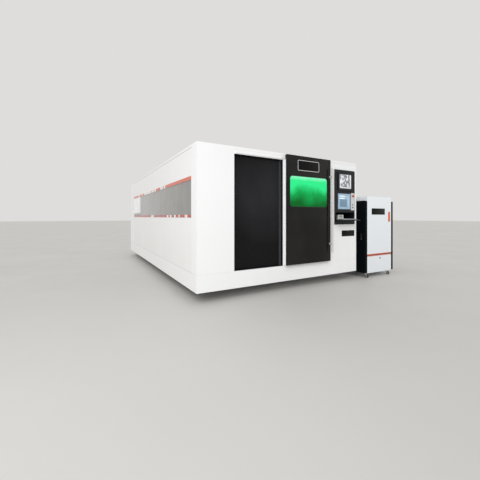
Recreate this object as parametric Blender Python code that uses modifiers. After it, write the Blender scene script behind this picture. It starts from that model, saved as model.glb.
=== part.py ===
"""Enclosed gantry fiber laser cutting machine with its control cabinet.

Metres, +Z up. Places are worked out in the machine's own coordinates: X from the
enclosure's left face, Y rearwards from its front face, Z from the floor. The empty
named machine carries every piece and centres the whole over the world origin.
"""

import math

import bmesh
import bpy
from mathutils import Matrix, Vector

# Fits, sheet metal and cutters
FIT = 0.0003
SHEET = 0.003
OVERRUN = 0.02
MERGE_GAP = 0.000005
ARC_STEPS = 4
ROUND_SIDES = 24
SMALL_SIDES = 12
WHEEL_SIDES = 16
SMOOTH_ANGLE = math.radians(35)

# Heights of the enclosure, stacked from the floor
FLOOR_GAP = 0.16
SKIRT_HEIGHT = 0.246
CONSOLE_RISE = 0.646
CONSOLE_FOOT = 0.068
NICHE_HEIGHT = 0.153
NICHE_GAP = 0.060
HMI_HEIGHT = 0.285
SCREEN_GAP = 0.055
MONITOR_HEIGHT = 0.337
CONSOLE_HEAD = 0.044
CONSOLE_HEADROOM = 0.111
CAP_LIP = 0.045

# Widths of the front, stacked from the left
CORNER_POST_WIDTH = 0.574
RECESS_WIDTH = 0.884
CENTRE_POST_WIDTH = 0.039
DOOR_LEFT_STILE = 0.060
DOOR_WINDOW_WIDTH = 0.825
DOOR_RIGHT_STILE = 0.090
CONSOLE_LEFT_MARGIN = 0.160
COLUMN_SEAM_MARGIN = 0.044
HMI_LEFT_MARGIN = 0.081
HMI_WIDTH = 0.330
BUTTON_GAP = 0.019
BUTTON_PANEL_WIDTH = 0.100
BUTTON_RIGHT_MARGIN = 0.011
CONSOLE_RIGHT_MARGIN = 0.057

# Lengths of the side, stacked from the front
PORTAL_RETURN = 0.19
WALL_PANELS = 5
WALL_PANEL_LENGTH = 0.988
REAR_PORTAL_LENGTH = 0.64

# Enclosure sheets
PANEL_DEPTH = 0.05
SKIRT_DEPTH = 0.03
SEAM_WIDTH = 0.006
SEAM_DEPTH = 0.002
LINTEL_HEIGHT = 0.060
RECESS_DEPTH = 0.058
REAR_CHAMFER = 0.05
JAMB_DEPTH = 0.05

# Long side window and its two trim strips
WINDOW_SILL_RISE = 0.818
WINDOW_HEIGHT = 0.493
WINDOW_INSET = 0.022
WINDOW_LAP = 0.012
PANE_THICKNESS = 0.006
CLEAR_PANELS = 1
TRIM_TOP_HEIGHT = 0.052
TRIM_BOTTOM_HEIGHT = 0.040
TRIM_THICKNESS = 0.004

# Sliding door
DOOR_TOP_GAP = 0.020
DOOR_SILL_GAP = 0.012
DOOR_STANDOFF = 0.016
DOOR_DEPTH = 0.045
DOOR_OVERLAP = 0.045
DOOR_WINDOW_RISE = 0.942
DOOR_WINDOW_HEIGHT = 0.493
DOOR_WINDOW_RADIUS = 0.05
HANGER_WIDTH = 0.06
HANGER_HEIGHT = 0.018
HANGER_INSET = 0.15
TRACK_HEIGHT = 0.036
TRACK_THICKNESS = 0.012
TRACK_RISE = 0.012
TRACK_END_GAP = 0.02

# Door handle
HANDLE_RISE = 0.158
HANDLE_LENGTH = 1.457
HANDLE_WIDTH = 0.034
HANDLE_THICKNESS = 0.018
HANDLE_REACH = 0.05
HANDLE_INSET = 0.002
HANDLE_POST_INSET = 0.145
HANDLE_POST_RADIUS = 0.011
HANDLE_EDGE = 0.005

# Operator console
CONSOLE_DEPTH = 0.29
BEZEL_PROUD = 0.012
BEZEL_LAP = 0.012
BEZEL_RADIUS = 0.012
NICHE_MARGIN = 0.023
NICHE_DEPTH = 0.27
MONITOR_WIDTH = 0.387
MONITOR_DEPTH = 0.040
MONITOR_PROUD = 0.014
MONITOR_FRAME = 0.025
SCREEN_SINK = 0.004
HMI_DEPTH = 0.030
HMI_PROUD = 0.006
HMI_FRAME = 0.032
BUTTON_PANEL_HEIGHT = 0.322
BUTTON_PANEL_THICKNESS = 0.004
BUTTON_STATIONS = 6
BUTTON_WELL_DEPTH = 0.03
ESTOP_RADIUS = 0.019
ESTOP_STEM_RADIUS = 0.010
ESTOP_REACH = 0.024
ESTOP_TRAVEL = 0.005
BUTTON_RADIUS = 0.011
BUTTON_REACH = 0.007
STEM_CLEARANCE = 0.0008
STEM_LENGTH = 0.012

# Keyboard tray and what lies on it
TRAY_THICKNESS = 0.022
TRAY_LENGTH = 0.30
TRAY_REACH = 0.16
TRAY_RADIUS = 0.02
TRAY_LIP = 0.008
KEYBOARD_WIDTH = 0.36
KEYBOARD_LENGTH = 0.13
KEYBOARD_HEIGHT = 0.018
KEYBOARD_SLOPE = 0.007
KEYBOARD_SETBACK = 0.016
PENDANT_WIDTH = 0.145
PENDANT_THICKNESS = 0.034
PENDANT_HEIGHT = 0.095
PENDANT_RADIUS = 0.014
PENDANT_INSET = 0.118
PENDANT_GAP = 0.05

# Base ring under the enclosure walls
RING_WIDTH = 0.10
RING_HEIGHT = 0.12
OUTRIGGERS = 4
OUTRIGGER_SIZE = 0.08
OUTRIGGER_INSET = 0.02
OUTRIGGER_DROP = 0.01
POST_SIZE = 0.07
POST_SETBACK = 0.33
FOOT_RISE = 0.05
FOOT_STEM_RADIUS = 0.012
FOOT_PAD_RADIUS = 0.045
FOOT_PAD_HEIGHT = 0.012

# Bed frame
PALLET_WIDTH = 1.70
PALLET_SIDE_GAP = 0.01
SIDE_BEAM_WIDTH = 0.23
SIDE_BEAM_BOTTOM = 0.30
SIDE_BEAM_HEIGHT = 0.62
BED_START = 0.60
REAR_BAY = 0.92
END_BEAM_WIDTH = 0.10
END_BEAM_HEIGHT = 0.32
CROSS_BEAMS = 3
CROSS_BEAM_SIZE = 0.12
LEDGE_WIDTH = 0.06
LEDGE_THICKNESS = 0.04
LEDGE_DROP = 0.18
LEDGE_END_GAP = 0.09
LEDGE_POST = 0.06
LEDGE_POST_GAP = 0.10
LEGS_ALONG = 4
LEG_SIZE = 0.16
LEG_INSET = 0.10
LEG_PAD_SIZE = 0.22
LEG_PAD_HEIGHT = 0.02
PORTS = 6
PORT_LENGTH = 0.36
PORT_HEIGHT = 0.16
PORT_RISE = 0.16

# Guide rails, racks and pinions
RAIL_WIDTH = 0.023
RAIL_HEIGHT = 0.022
RAIL_GROOVE = 0.004
RAIL_INSET = 0.135
RAIL_END_GAP = 0.05
RACK_SIZE = 0.03
RACK_INSET = 0.05
GEAR_MODULE = 0.0025
PINION_TEETH = 24
PINION_WIDTH = 0.024
PINION_LIFT = 0.004
SHAFT_RADIUS = 0.010

# Gantry
GANTRY_START_GAP = 0.22
SADDLE_LENGTH = 0.46
SADDLE_THICKNESS = 0.03
SADDLE_OUTREACH = 0.045
SADDLE_INREACH = 0.08
BLOCK_LENGTH = 0.09
BLOCK_WIDTH = 0.06
BLOCK_HEIGHT = 0.046
BLOCK_LIFT = 0.006
BEAM_DEPTH = 0.22
BEAM_HEIGHT = 0.27
BEAM_CHAMFER = 0.05
BEAM_OVERREACH = 0.06
CROSS_RAIL_INSET = 0.05
CROSS_RAIL_END_GAP = 0.10
GEARBOX_SIZE = 0.086
GEARBOX_HEIGHT = 0.07
MOTOR_SIZE = 0.08
MOTOR_HEIGHT = 0.15
GUSSET_LENGTH = 0.10
GUSSET_HEIGHT = 0.12
GUSSET_THICKNESS = 0.012

# Cross carriage, Z slide and laser head
HEAD_START = 0.62
CARRIAGE_WIDTH = 0.24
CARRIAGE_THICKNESS = 0.022
CARRIAGE_OVERLAP = 0.035
CARRIAGE_LIFT = 0.018
Z_RAIL_WIDTH = 0.05
Z_RAIL_DEPTH = 0.014
SLIDE_WIDTH = 0.13
SLIDE_THICKNESS = 0.024
SLIDE_HEIGHT = 0.26
SLIDE_DROP = 0.01
CLAMP_HEIGHT = 0.05
CLAMP_MARGIN = 0.014
CLAMP_GAP = 0.10
HEAD_RADIUS = 0.038
HEAD_OFFSET = 0.055
HEAD_ABOVE = 0.10
HEAD_BELOW = 0.02
HEAD_CONE = 0.05
NOZZLE_RADIUS = 0.012
NOZZLE_LENGTH = 0.02
NOZZLE_TIP_RADIUS = 0.004
SOCKET_RADIUS = 0.016
SOCKET_LENGTH = 0.05

# Slat pallet and slag tray
PALLET_SIDE_WIDTH = 0.05
PALLET_SIDE_HEIGHT = 0.08
PALLET_CROSS_HEIGHT = 0.035
PALLET_CROSSES = 4
PALLET_START_GAP = 0.50
PALLET_END_GAP = 0.46
SLAT_PITCH = 0.155
SLAT_THICKNESS = 0.004
SLAT_HEIGHT = 0.085
SLAT_RISE = 0.035
TOOTH_PITCH = 0.11
TOOTH_DEPTH = 0.03
TOOTH_TIP = 0.008
TRAY_WALL_HEIGHT = 0.07
TRAY_MARGIN = 0.012

# Rear exchange slot and its lift gate
SLOT_WIDTH = 1.76
SLOT_BOTTOM_DROP = 0.05
SLOT_HEIGHT = 0.30
GATE_LAP = 0.035
GATE_DEPTH = 0.03
GUIDE_THICKNESS = 0.006
GUIDE_LIP = 0.03
GUIDE_SHELF = 0.01

# Control cabinet
CABINET_GAP = 0.185
CABINET_ADVANCE = 0.067
CABINET_WIDTH = 0.77
CABINET_DEPTH = 0.90
CABINET_HEIGHT = 1.501
CABINET_FRONT_DEPTH = 0.024
CABINET_SIDE_THICKNESS = 0.055
CABINET_SIDE_LIFT = 0.011
CABINET_CAP = 0.085
CABINET_SIDE_RADIUS = 0.03
CABINET_SEAM_RISE = 0.354
CABINET_STRIP_HEIGHT = 0.025
ACCESS_DOOR_GAP = 0.002
ACCESS_DOOR_LIFT = 0.006
SIDE_HANDLE_SETBACK = 0.13
SIDE_HANDLE_RISE = 0.62
SIDE_HANDLE_LENGTH = 0.12
SIDE_HANDLE_WIDTH = 0.03
SIDE_HANDLE_DEPTH = 0.018
SOURCE_WIDTH = 0.48
SOURCE_LENGTH = 0.66
SOURCE_HEIGHT = 0.22
SOURCE_SETBACK = 0.12
SOURCE_GRIP_REACH = 0.04
SOURCE_GRIP_RADIUS = 0.006
SOURCE_GRIP_LEG_RADIUS = 0.0048
SOURCE_GRIP_HEIGHT = 0.13
SOURCE_GRIP_INSET = 0.03

# Castors
CASTOR_HEIGHT = 0.089
CASTOR_INSET = 0.05
CASTOR_PLATE_SIZE = 0.07
CASTOR_PLATE = 0.004
CASTOR_TRAIL = 0.03
SWIVEL_RADIUS = 0.024
SWIVEL_HEIGHT = 0.012
WHEEL_RADIUS = 0.0325
WHEEL_WIDTH = 0.024
WHEEL_ROUND = 0.004
HUB_RADIUS = 0.013
HUB_SINK = 0.003
AXLE_RADIUS = 0.004
AXLE_CLEARANCE = 0.0003
FORK_CLEARANCE = 0.002
FORK_CHEEK = 0.003
FORK_END_RADIUS = 0.011
FORK_TOP_WIDTH = 0.036

# Sums that place the pieces
SKIRT_TOP = FLOOR_GAP + SKIRT_HEIGHT
WALL_BOTTOM = SKIRT_TOP + FIT
CONSOLE_BOTTOM = SKIRT_TOP + CONSOLE_RISE
NICHE_BOTTOM = CONSOLE_BOTTOM + CONSOLE_FOOT
NICHE_TOP = NICHE_BOTTOM + NICHE_HEIGHT
HMI_BOTTOM = NICHE_TOP + NICHE_GAP
HMI_TOP = HMI_BOTTOM + HMI_HEIGHT
MONITOR_BOTTOM = HMI_TOP + SCREEN_GAP
MONITOR_TOP = MONITOR_BOTTOM + MONITOR_HEIGHT
CONSOLE_TOP = MONITOR_TOP + CONSOLE_HEAD
WALL_TOP = CONSOLE_TOP + CONSOLE_HEADROOM
ENCLOSURE_TOP = WALL_TOP + CAP_LIP

RECESS_LEFT = CORNER_POST_WIDTH
RECESS_RIGHT = RECESS_LEFT + RECESS_WIDTH
RECESS_TOP = WALL_TOP - LINTEL_HEIGHT
DOOR_LEFT = RECESS_RIGHT + CENTRE_POST_WIDTH
DOOR_WINDOW_LEFT = DOOR_LEFT + DOOR_LEFT_STILE
DOOR_WINDOW_RIGHT = DOOR_WINDOW_LEFT + DOOR_WINDOW_WIDTH
DOOR_RIGHT = DOOR_WINDOW_RIGHT + DOOR_RIGHT_STILE
DOOR_BOTTOM = SKIRT_TOP + DOOR_SILL_GAP
DOOR_TOP = ENCLOSURE_TOP - DOOR_TOP_GAP
DOOR_BACK = -DOOR_STANDOFF
DOOR_FACE = DOOR_BACK - DOOR_DEPTH
CONSOLE_LEFT = DOOR_RIGHT + CONSOLE_LEFT_MARGIN
HMI_LEFT = CONSOLE_LEFT + HMI_LEFT_MARGIN
HMI_RIGHT = HMI_LEFT + HMI_WIDTH
BUTTON_LEFT = HMI_RIGHT + BUTTON_GAP
BUTTON_RIGHT = BUTTON_LEFT + BUTTON_PANEL_WIDTH
CONSOLE_RIGHT = BUTTON_RIGHT + BUTTON_RIGHT_MARGIN
ENCLOSURE_WIDTH = CONSOLE_RIGHT + CONSOLE_RIGHT_MARGIN
BUTTON_BOTTOM = (HMI_BOTTOM + HMI_TOP - BUTTON_PANEL_HEIGHT) / 2
BUTTON_TOP = BUTTON_BOTTOM + BUTTON_PANEL_HEIGHT
BUTTON_CENTRE = (BUTTON_LEFT + BUTTON_RIGHT) / 2
BEZEL_FACE = -FIT - BEZEL_PROUD
PANEL_FACE = BEZEL_FACE - BUTTON_PANEL_THICKNESS

REAR_PORTAL_START = PORTAL_RETURN + WALL_PANELS * WALL_PANEL_LENGTH
ENCLOSURE_LENGTH = REAR_PORTAL_START + REAR_PORTAL_LENGTH
WALL_START = PORTAL_RETURN + FIT
WALL_END = REAR_PORTAL_START - FIT
WINDOW_START = PORTAL_RETURN + WINDOW_INSET
WINDOW_END = REAR_PORTAL_START - WINDOW_INSET
WINDOW_SPLIT = REAR_PORTAL_START - CLEAR_PANELS * WALL_PANEL_LENGTH
WINDOW_BOTTOM = SKIRT_TOP + WINDOW_SILL_RISE
WINDOW_TOP = WINDOW_BOTTOM + WINDOW_HEIGHT

BED_CENTRE = ENCLOSURE_WIDTH / 2
BED_INNER = PALLET_WIDTH / 2 + PALLET_SIDE_GAP
BED_OUTER = BED_INNER + SIDE_BEAM_WIDTH
BED_TOP = SIDE_BEAM_BOTTOM + SIDE_BEAM_HEIGHT
BED_END = ENCLOSURE_LENGTH - REAR_BAY
LEDGE_TOP = BED_TOP - LEDGE_DROP
LEDGE_END = ENCLOSURE_LENGTH - LEDGE_END_GAP
RING_OUTER = SKIRT_DEPTH + FIT
RING_INNER = RING_OUTER + RING_WIDTH
RING_BOTTOM = SKIRT_TOP - RING_HEIGHT
PALLET_BOTTOM = LEDGE_TOP + FIT
PALLET_START = BED_START + PALLET_START_GAP
PALLET_END = BED_END - PALLET_END_GAP
SLAT_TOP = PALLET_BOTTOM + SLAT_RISE + SLAT_HEIGHT

RAIL_OFFSET = BED_OUTER - RAIL_INSET
RACK_OUTER = BED_OUTER - RACK_INSET
PITCH_RADIUS = GEAR_MODULE * PINION_TEETH / 2
TIP_RADIUS = PITCH_RADIUS + GEAR_MODULE
PINION_OFFSET = RACK_OUTER + TIP_RADIUS + FIT
PINION_BOTTOM = BED_TOP + PINION_LIFT
RAIL_TOP = BED_TOP + FIT + RAIL_HEIGHT
SADDLE_BOTTOM = BED_TOP + BLOCK_LIFT + BLOCK_HEIGHT
SADDLE_TOP = SADDLE_BOTTOM + SADDLE_THICKNESS
SADDLE_OUTER = PINION_OFFSET + SADDLE_OUTREACH
SADDLE_INNER = RAIL_OFFSET - SADDLE_INREACH
GANTRY_CENTRE = BED_START + GANTRY_START_GAP + SADDLE_LENGTH / 2
BEAM_FACE = GANTRY_CENTRE + BEAM_DEPTH / 2
BEAM_TOP = SADDLE_TOP + BEAM_HEIGHT
BEAM_REACH = RAIL_OFFSET + BEAM_OVERREACH
CROSS_RAIL_LOW = SADDLE_TOP + CROSS_RAIL_INSET
CROSS_RAIL_HIGH = BEAM_TOP - CROSS_RAIL_INSET
HEAD_CENTRE_X = BED_CENTRE - HEAD_START
CARRIAGE_BACK = BEAM_FACE + BLOCK_HEIGHT + BLOCK_LIFT
CARRIAGE_FACE = CARRIAGE_BACK + CARRIAGE_THICKNESS
CARRIAGE_BOTTOM = SADDLE_TOP + CARRIAGE_LIFT
CARRIAGE_TOP = BEAM_TOP + CARRIAGE_OVERLAP
SLIDE_BACK = CARRIAGE_FACE + FIT
SLIDE_FACE = SLIDE_BACK + SLIDE_THICKNESS + Z_RAIL_DEPTH
SLIDE_BOTTOM = CARRIAGE_BOTTOM - SLIDE_DROP
SLIDE_TOP = SLIDE_BOTTOM + SLIDE_HEIGHT
HEAD_CENTRE_Y = SLIDE_FACE + HEAD_OFFSET

SLOT_BOTTOM = LEDGE_TOP - SLOT_BOTTOM_DROP
SLOT_TOP = SLOT_BOTTOM + SLOT_HEIGHT
GATE_BOTTOM = SLOT_BOTTOM - GATE_LAP
GATE_TOP = SLOT_TOP + GATE_LAP
GATE_HALF = SLOT_WIDTH / 2 + GATE_LAP
GUIDE_TOP = GATE_TOP + GATE_TOP - GATE_BOTTOM

CABINET_OUTER_LEFT = ENCLOSURE_WIDTH + CABINET_GAP
CABINET_LEFT = CABINET_OUTER_LEFT + CABINET_SIDE_THICKNESS + FIT
CABINET_RIGHT = CABINET_LEFT + CABINET_WIDTH
CABINET_OUTER_RIGHT = CABINET_RIGHT + CABINET_SIDE_THICKNESS + FIT
CABINET_FACE = -CABINET_ADVANCE
CABINET_SHELL_FRONT = CABINET_FACE + CABINET_FRONT_DEPTH + FIT
CABINET_BACK = CABINET_FACE + CABINET_DEPTH
CABINET_TOP = CASTOR_HEIGHT + CABINET_HEIGHT
CABINET_SEAM = CASTOR_HEIGHT + CABINET_SEAM_RISE
SWIVEL_TOP = CASTOR_HEIGHT - CASTOR_PLATE - FIT
FORK_INNER = WHEEL_WIDTH / 2 + FORK_CLEARANCE
FORK_OUTER = FORK_INNER + FORK_CHEEK

OVERALL_LEFT = -FIT - TRIM_THICKNESS
OVERALL_FRONT = -TRAY_REACH
OVERALL_BACK = ENCLOSURE_LENGTH + 2 * FIT + GATE_DEPTH + GUIDE_THICKNESS


def clear_scene():
    for item in list(bpy.data.objects):
        bpy.data.objects.remove(item)


def new_collection(name):
    group = bpy.data.collections.new(name)
    bpy.context.scene.collection.children.link(group)
    return group


def new_material(name, colour, metallic, roughness):
    surface = bpy.data.materials.new(name)
    surface.use_nodes = True
    shader = surface.node_tree.nodes["Principled BSDF"]
    shader.inputs["Base Color"].default_value = (*colour, 1)
    shader.inputs["Metallic"].default_value = metallic
    shader.inputs["Roughness"].default_value = roughness
    surface.diffuse_color = (*colour, 1)
    return surface


def shape_object(name, shape, centre):
    """An object from a bmesh, placed with its origin at the given centre."""
    mesh = bpy.data.meshes.new(name)
    shape.to_mesh(mesh)
    shape.free()
    piece = bpy.data.objects.new(name, mesh)
    piece.location = centre
    PARTS.objects.link(piece)
    piece.parent = MACHINE
    return piece


def block(name, low, high):
    """A box between two corners."""
    low = Vector(low)
    high = Vector(high)
    shape = bmesh.new()
    bmesh.ops.create_cube(shape, size=1, matrix=Matrix.Diagonal((*(high - low), 1)))
    return shape_object(name, shape, (low + high) / 2)


def pan(name, low, high, wall, open_side):
    """A folded sheet box that is open on the side that open_side points to."""
    piece = block(name, low, high)
    shape = bmesh.new()
    shape.from_mesh(piece.data)
    shape.normal_update()
    lid = max(shape.faces, key=lambda face: face.normal.dot(Vector(open_side)))
    bmesh.ops.delete(shape, geom=[lid], context="FACES_ONLY")
    shape.to_mesh(piece.data)
    shape.free()
    fold = piece.modifiers.new("Sheet", "SOLIDIFY")
    fold.thickness = wall
    fold.offset = -1
    fold.use_even_offset = True
    return piece


AXIS_TURNS = {
    "X": Matrix(((0, 0, 1), (1, 0, 0), (0, 1, 0))).to_4x4(),
    "Y": Matrix(((1, 0, 0), (0, 0, -1), (0, 1, 0))).to_4x4(),
    "Z": Matrix.Identity(4),
}


def rod(name, radius, start, end, axis, sides):
    """A cylinder along an axis, between two centres."""
    start = Vector(start)
    end = Vector(end)
    shape = bmesh.new()
    bmesh.ops.create_cone(shape, cap_ends=True, segments=sides, radius1=radius, radius2=radius,
                          depth=(end - start).length)
    if axis == "Y":
        bmesh.ops.transform(shape, matrix=Matrix.Rotation(math.radians(-90), 4, "X"), verts=shape.verts)
    if axis == "X":
        bmesh.ops.transform(shape, matrix=Matrix.Rotation(math.radians(90), 4, "Y"), verts=shape.verts)
    piece = shape_object(name, shape, (start + end) / 2)
    smooth(piece)
    return piece


def smooth(piece):
    piece.data.shade_smooth()
    piece.data.set_sharp_from_angle(angle=SMOOTH_ANGLE)


def extrusion(name, outline, start, end, axis):
    """A flat outline drawn out along an axis; X takes (y, z), Y takes (x, z), Z takes (x, y)."""
    low = Vector((min(point[0] for point in outline), min(point[1] for point in outline)))
    high = Vector((max(point[0] for point in outline), max(point[1] for point in outline)))
    middle = (low + high) / 2
    curve = bpy.data.curves.new(name, "CURVE")
    curve.dimensions = "2D"
    curve.fill_mode = "BOTH"
    curve.extrude = (end - start) / 2
    spline = curve.splines.new("POLY")
    spline.points.add(len(outline) - 1)
    for point, place in zip(spline.points, outline):
        point.co = (place[0] - middle.x, place[1] - middle.y, 0, 1)
    spline.use_cyclic_u = True
    drawn = bpy.data.objects.new(name, curve)
    PARTS.objects.link(drawn)
    bpy.context.view_layer.update()
    mesh = bpy.data.meshes.new_from_object(drawn.evaluated_get(bpy.context.evaluated_depsgraph_get()))
    bpy.data.objects.remove(drawn)
    shape = bmesh.new()
    shape.from_mesh(mesh)
    bpy.data.meshes.remove(mesh)
    bmesh.ops.remove_doubles(shape, verts=shape.verts, dist=MERGE_GAP)
    bmesh.ops.transform(shape, matrix=AXIS_TURNS[axis], verts=shape.verts)
    bmesh.ops.recalc_face_normals(shape, faces=shape.faces)
    depth = (start + end) / 2
    centre = {"X": (depth, middle.x, middle.y), "Y": (middle.x, depth, middle.y), "Z": (middle.x, middle.y, depth)}
    return shape_object(name, shape, centre[axis])


def rounded(low, high, radii):
    """Outline of a rectangle; radii are for the corners left-low, right-low, right-high, left-high."""
    centres = (
        (low[0] + radii[0], low[1] + radii[0]),
        (high[0] - radii[1], low[1] + radii[1]),
        (high[0] - radii[2], high[1] - radii[2]),
        (low[0] + radii[3], high[1] - radii[3]),
    )
    outline = []
    for corner, centre in enumerate(centres):
        steps = ARC_STEPS if radii[corner] > 0 else 0
        for step in range(steps + 1):
            share = step / steps if steps else 0
            angle = math.pi + (corner + share) * math.pi / 2
            outline.append((centre[0] + radii[corner] * math.cos(angle),
                            centre[1] + radii[corner] * math.sin(angle)))
    return outline


def turned(name, profile, centre, axis, sides=ROUND_SIDES, closed=False):
    """A body of revolution from (radius, height) points that run down its outer side."""
    mesh = bpy.data.meshes.new(name)
    points = [(radius, 0, height) for radius, height in profile]
    edges = [(index, index + 1) for index in range(len(points) - 1)]
    if closed:
        edges.append((len(points) - 1, 0))
    mesh.from_pydata(points, edges, [])
    piece = bpy.data.objects.new(name, mesh)
    PARTS.objects.link(piece)
    piece.parent = MACHINE
    piece.location = centre
    piece.rotation_euler = {"X": (0, math.pi / 2, 0), "Y": (math.pi / 2, 0, 0), "Z": (0, 0, 0)}[axis]
    screw = piece.modifiers.new("Turn", "SCREW")
    screw.axis = "Z"
    screw.steps = sides
    screw.render_steps = sides
    screw.use_merge_vertices = True
    screw.merge_threshold = MERGE_GAP
    screw.use_smooth_shade = True
    return piece


def hide_tool(tool):
    for group in list(tool.users_collection):
        group.objects.unlink(tool)
    CUTTERS.objects.link(tool)
    tool.display_type = "WIRE"
    tool.hide_render = True
    tool.name = tool.name + ".tool"


def combine(piece, tool, operation):
    joint = piece.modifiers.new(operation.title(), "BOOLEAN")
    joint.operation = operation
    joint.object = tool
    joint.solver = "EXACT"
    hide_tool(tool)


def cut(piece, *tools):
    for tool in tools:
        combine(piece, tool, "DIFFERENCE")


def fuse(piece, *tools):
    for tool in tools:
        combine(piece, tool, "UNION")


def repeat(tool, count, step):
    """Copies of a tool at a constant step."""
    copies = tool.modifiers.new("Repeat", "ARRAY")
    copies.count = count
    copies.use_relative_offset = False
    copies.use_constant_offset = True
    copies.constant_offset_displace = step
    return tool


def attach(piece, holder):
    """Hangs a piece, placed in machine coordinates, on an empty of the machine."""
    piece.location = Vector(piece.location) - Vector(holder.location)
    piece.parent = holder


def new_holder(name, place):
    holder = bpy.data.objects.new(name, None)
    PARTS.objects.link(holder)
    holder.parent = MACHINE
    holder.location = place
    holder.empty_display_size = SADDLE_LENGTH
    return holder


def dress(surface, *pieces):
    for piece in pieces:
        piece.data.materials.clear()
        piece.data.materials.append(surface)


def base_ring():
    """Rectangular tube ring for skirts and walls, on footed outriggers that tie into the bed."""
    ring = block("base_ring", (RING_OUTER, RING_OUTER, RING_BOTTOM),
                 (ENCLOSURE_WIDTH - RING_OUTER, ENCLOSURE_LENGTH - RING_OUTER, SKIRT_TOP))
    cut(ring, block("ring_hole", (RING_INNER, RING_INNER, RING_BOTTOM - OVERRUN),
                    (ENCLOSURE_WIDTH - RING_INNER, ENCLOSURE_LENGTH - RING_INNER, SKIRT_TOP + OVERRUN)))
    start = BED_START + OUTRIGGER_INSET
    step = (BED_END - OUTRIGGER_INSET - OUTRIGGER_SIZE - start) / (OUTRIGGERS - 1)
    middle = start + OUTRIGGER_SIZE / 2
    bar_top = SKIRT_TOP - OUTRIGGER_DROP
    bar_bottom = bar_top - OUTRIGGER_SIZE
    for side in (-1, 1):
        ends = sorted((BED_CENTRE + side * (BED_CENTRE - RING_INNER + OVERRUN),
                       BED_CENTRE + side * (BED_OUTER + FIT)))
        foot = BED_CENTRE + side * (BED_CENTRE - POST_SETBACK)
        bars = block("outriggers", (ends[0], start, bar_bottom), (ends[1], start + OUTRIGGER_SIZE, bar_top))
        posts = block("ring_posts", (foot - POST_SIZE / 2, middle - POST_SIZE / 2, FOOT_RISE),
                      (foot + POST_SIZE / 2, middle + POST_SIZE / 2, bar_bottom + OVERRUN))
        stems = rod("ring_stems", FOOT_STEM_RADIUS, (foot, middle, FOOT_PAD_HEIGHT / 2),
                    (foot, middle, FOOT_RISE + OVERRUN), "Z", SMALL_SIDES)
        pads = rod("ring_pads", FOOT_PAD_RADIUS, (foot, middle, 0), (foot, middle, FOOT_PAD_HEIGHT), "Z",
                   SMALL_SIDES)
        for tool in (bars, posts, stems, pads):
            fuse(ring, repeat(tool, OUTRIGGERS, (0, step, 0)))
    dress(DARK_STEEL, ring)


def seam_frame(low, high):
    """Cutter for a shallow seam around the outside of the enclosure."""
    frame = block("seam_frame", (-OVERRUN, -OVERRUN, low),
                  (ENCLOSURE_WIDTH + OVERRUN, ENCLOSURE_LENGTH + OVERRUN, high))
    cut(frame, block("seam_core", (SEAM_DEPTH, SEAM_DEPTH, low - OVERRUN),
                     (ENCLOSURE_WIDTH - SEAM_DEPTH, ENCLOSURE_LENGTH - SEAM_DEPTH, high + OVERRUN)))
    return frame


def column_seam():
    """Cutter for the upright seam between doorway and operator column."""
    middle = CONSOLE_LEFT - COLUMN_SEAM_MARGIN
    return block("column_seam", (middle - SEAM_WIDTH / 2, -OVERRUN, 0),
                 (middle + SEAM_WIDTH / 2, SEAM_DEPTH, WALL_TOP + OVERRUN))


def skirts():
    """Four folded pans between the floor gap and the walls, each with a seam along its top."""
    inset = SKIRT_DEPTH + FIT
    front = pan("skirt_front", (0, 0, FLOOR_GAP), (ENCLOSURE_WIDTH, SKIRT_DEPTH, SKIRT_TOP), SHEET, (0, 1, 0))
    rear = pan("skirt_rear", (0, ENCLOSURE_LENGTH - SKIRT_DEPTH, FLOOR_GAP),
               (ENCLOSURE_WIDTH, ENCLOSURE_LENGTH, SKIRT_TOP), SHEET, (0, -1, 0))
    left = pan("skirt_left", (0, inset, FLOOR_GAP), (SKIRT_DEPTH, ENCLOSURE_LENGTH - inset, SKIRT_TOP),
               SHEET, (1, 0, 0))
    right = pan("skirt_right", (ENCLOSURE_WIDTH - SKIRT_DEPTH, inset, FLOOR_GAP),
                (ENCLOSURE_WIDTH, ENCLOSURE_LENGTH - inset, SKIRT_TOP), SHEET, (-1, 0, 0))
    for skirt in (front, rear, left, right):
        cut(skirt, seam_frame(SKIRT_TOP - SEAM_WIDTH, SKIRT_TOP + OVERRUN))
    cut(front, column_seam())
    dress(WHITE, front, rear, left, right)


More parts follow.
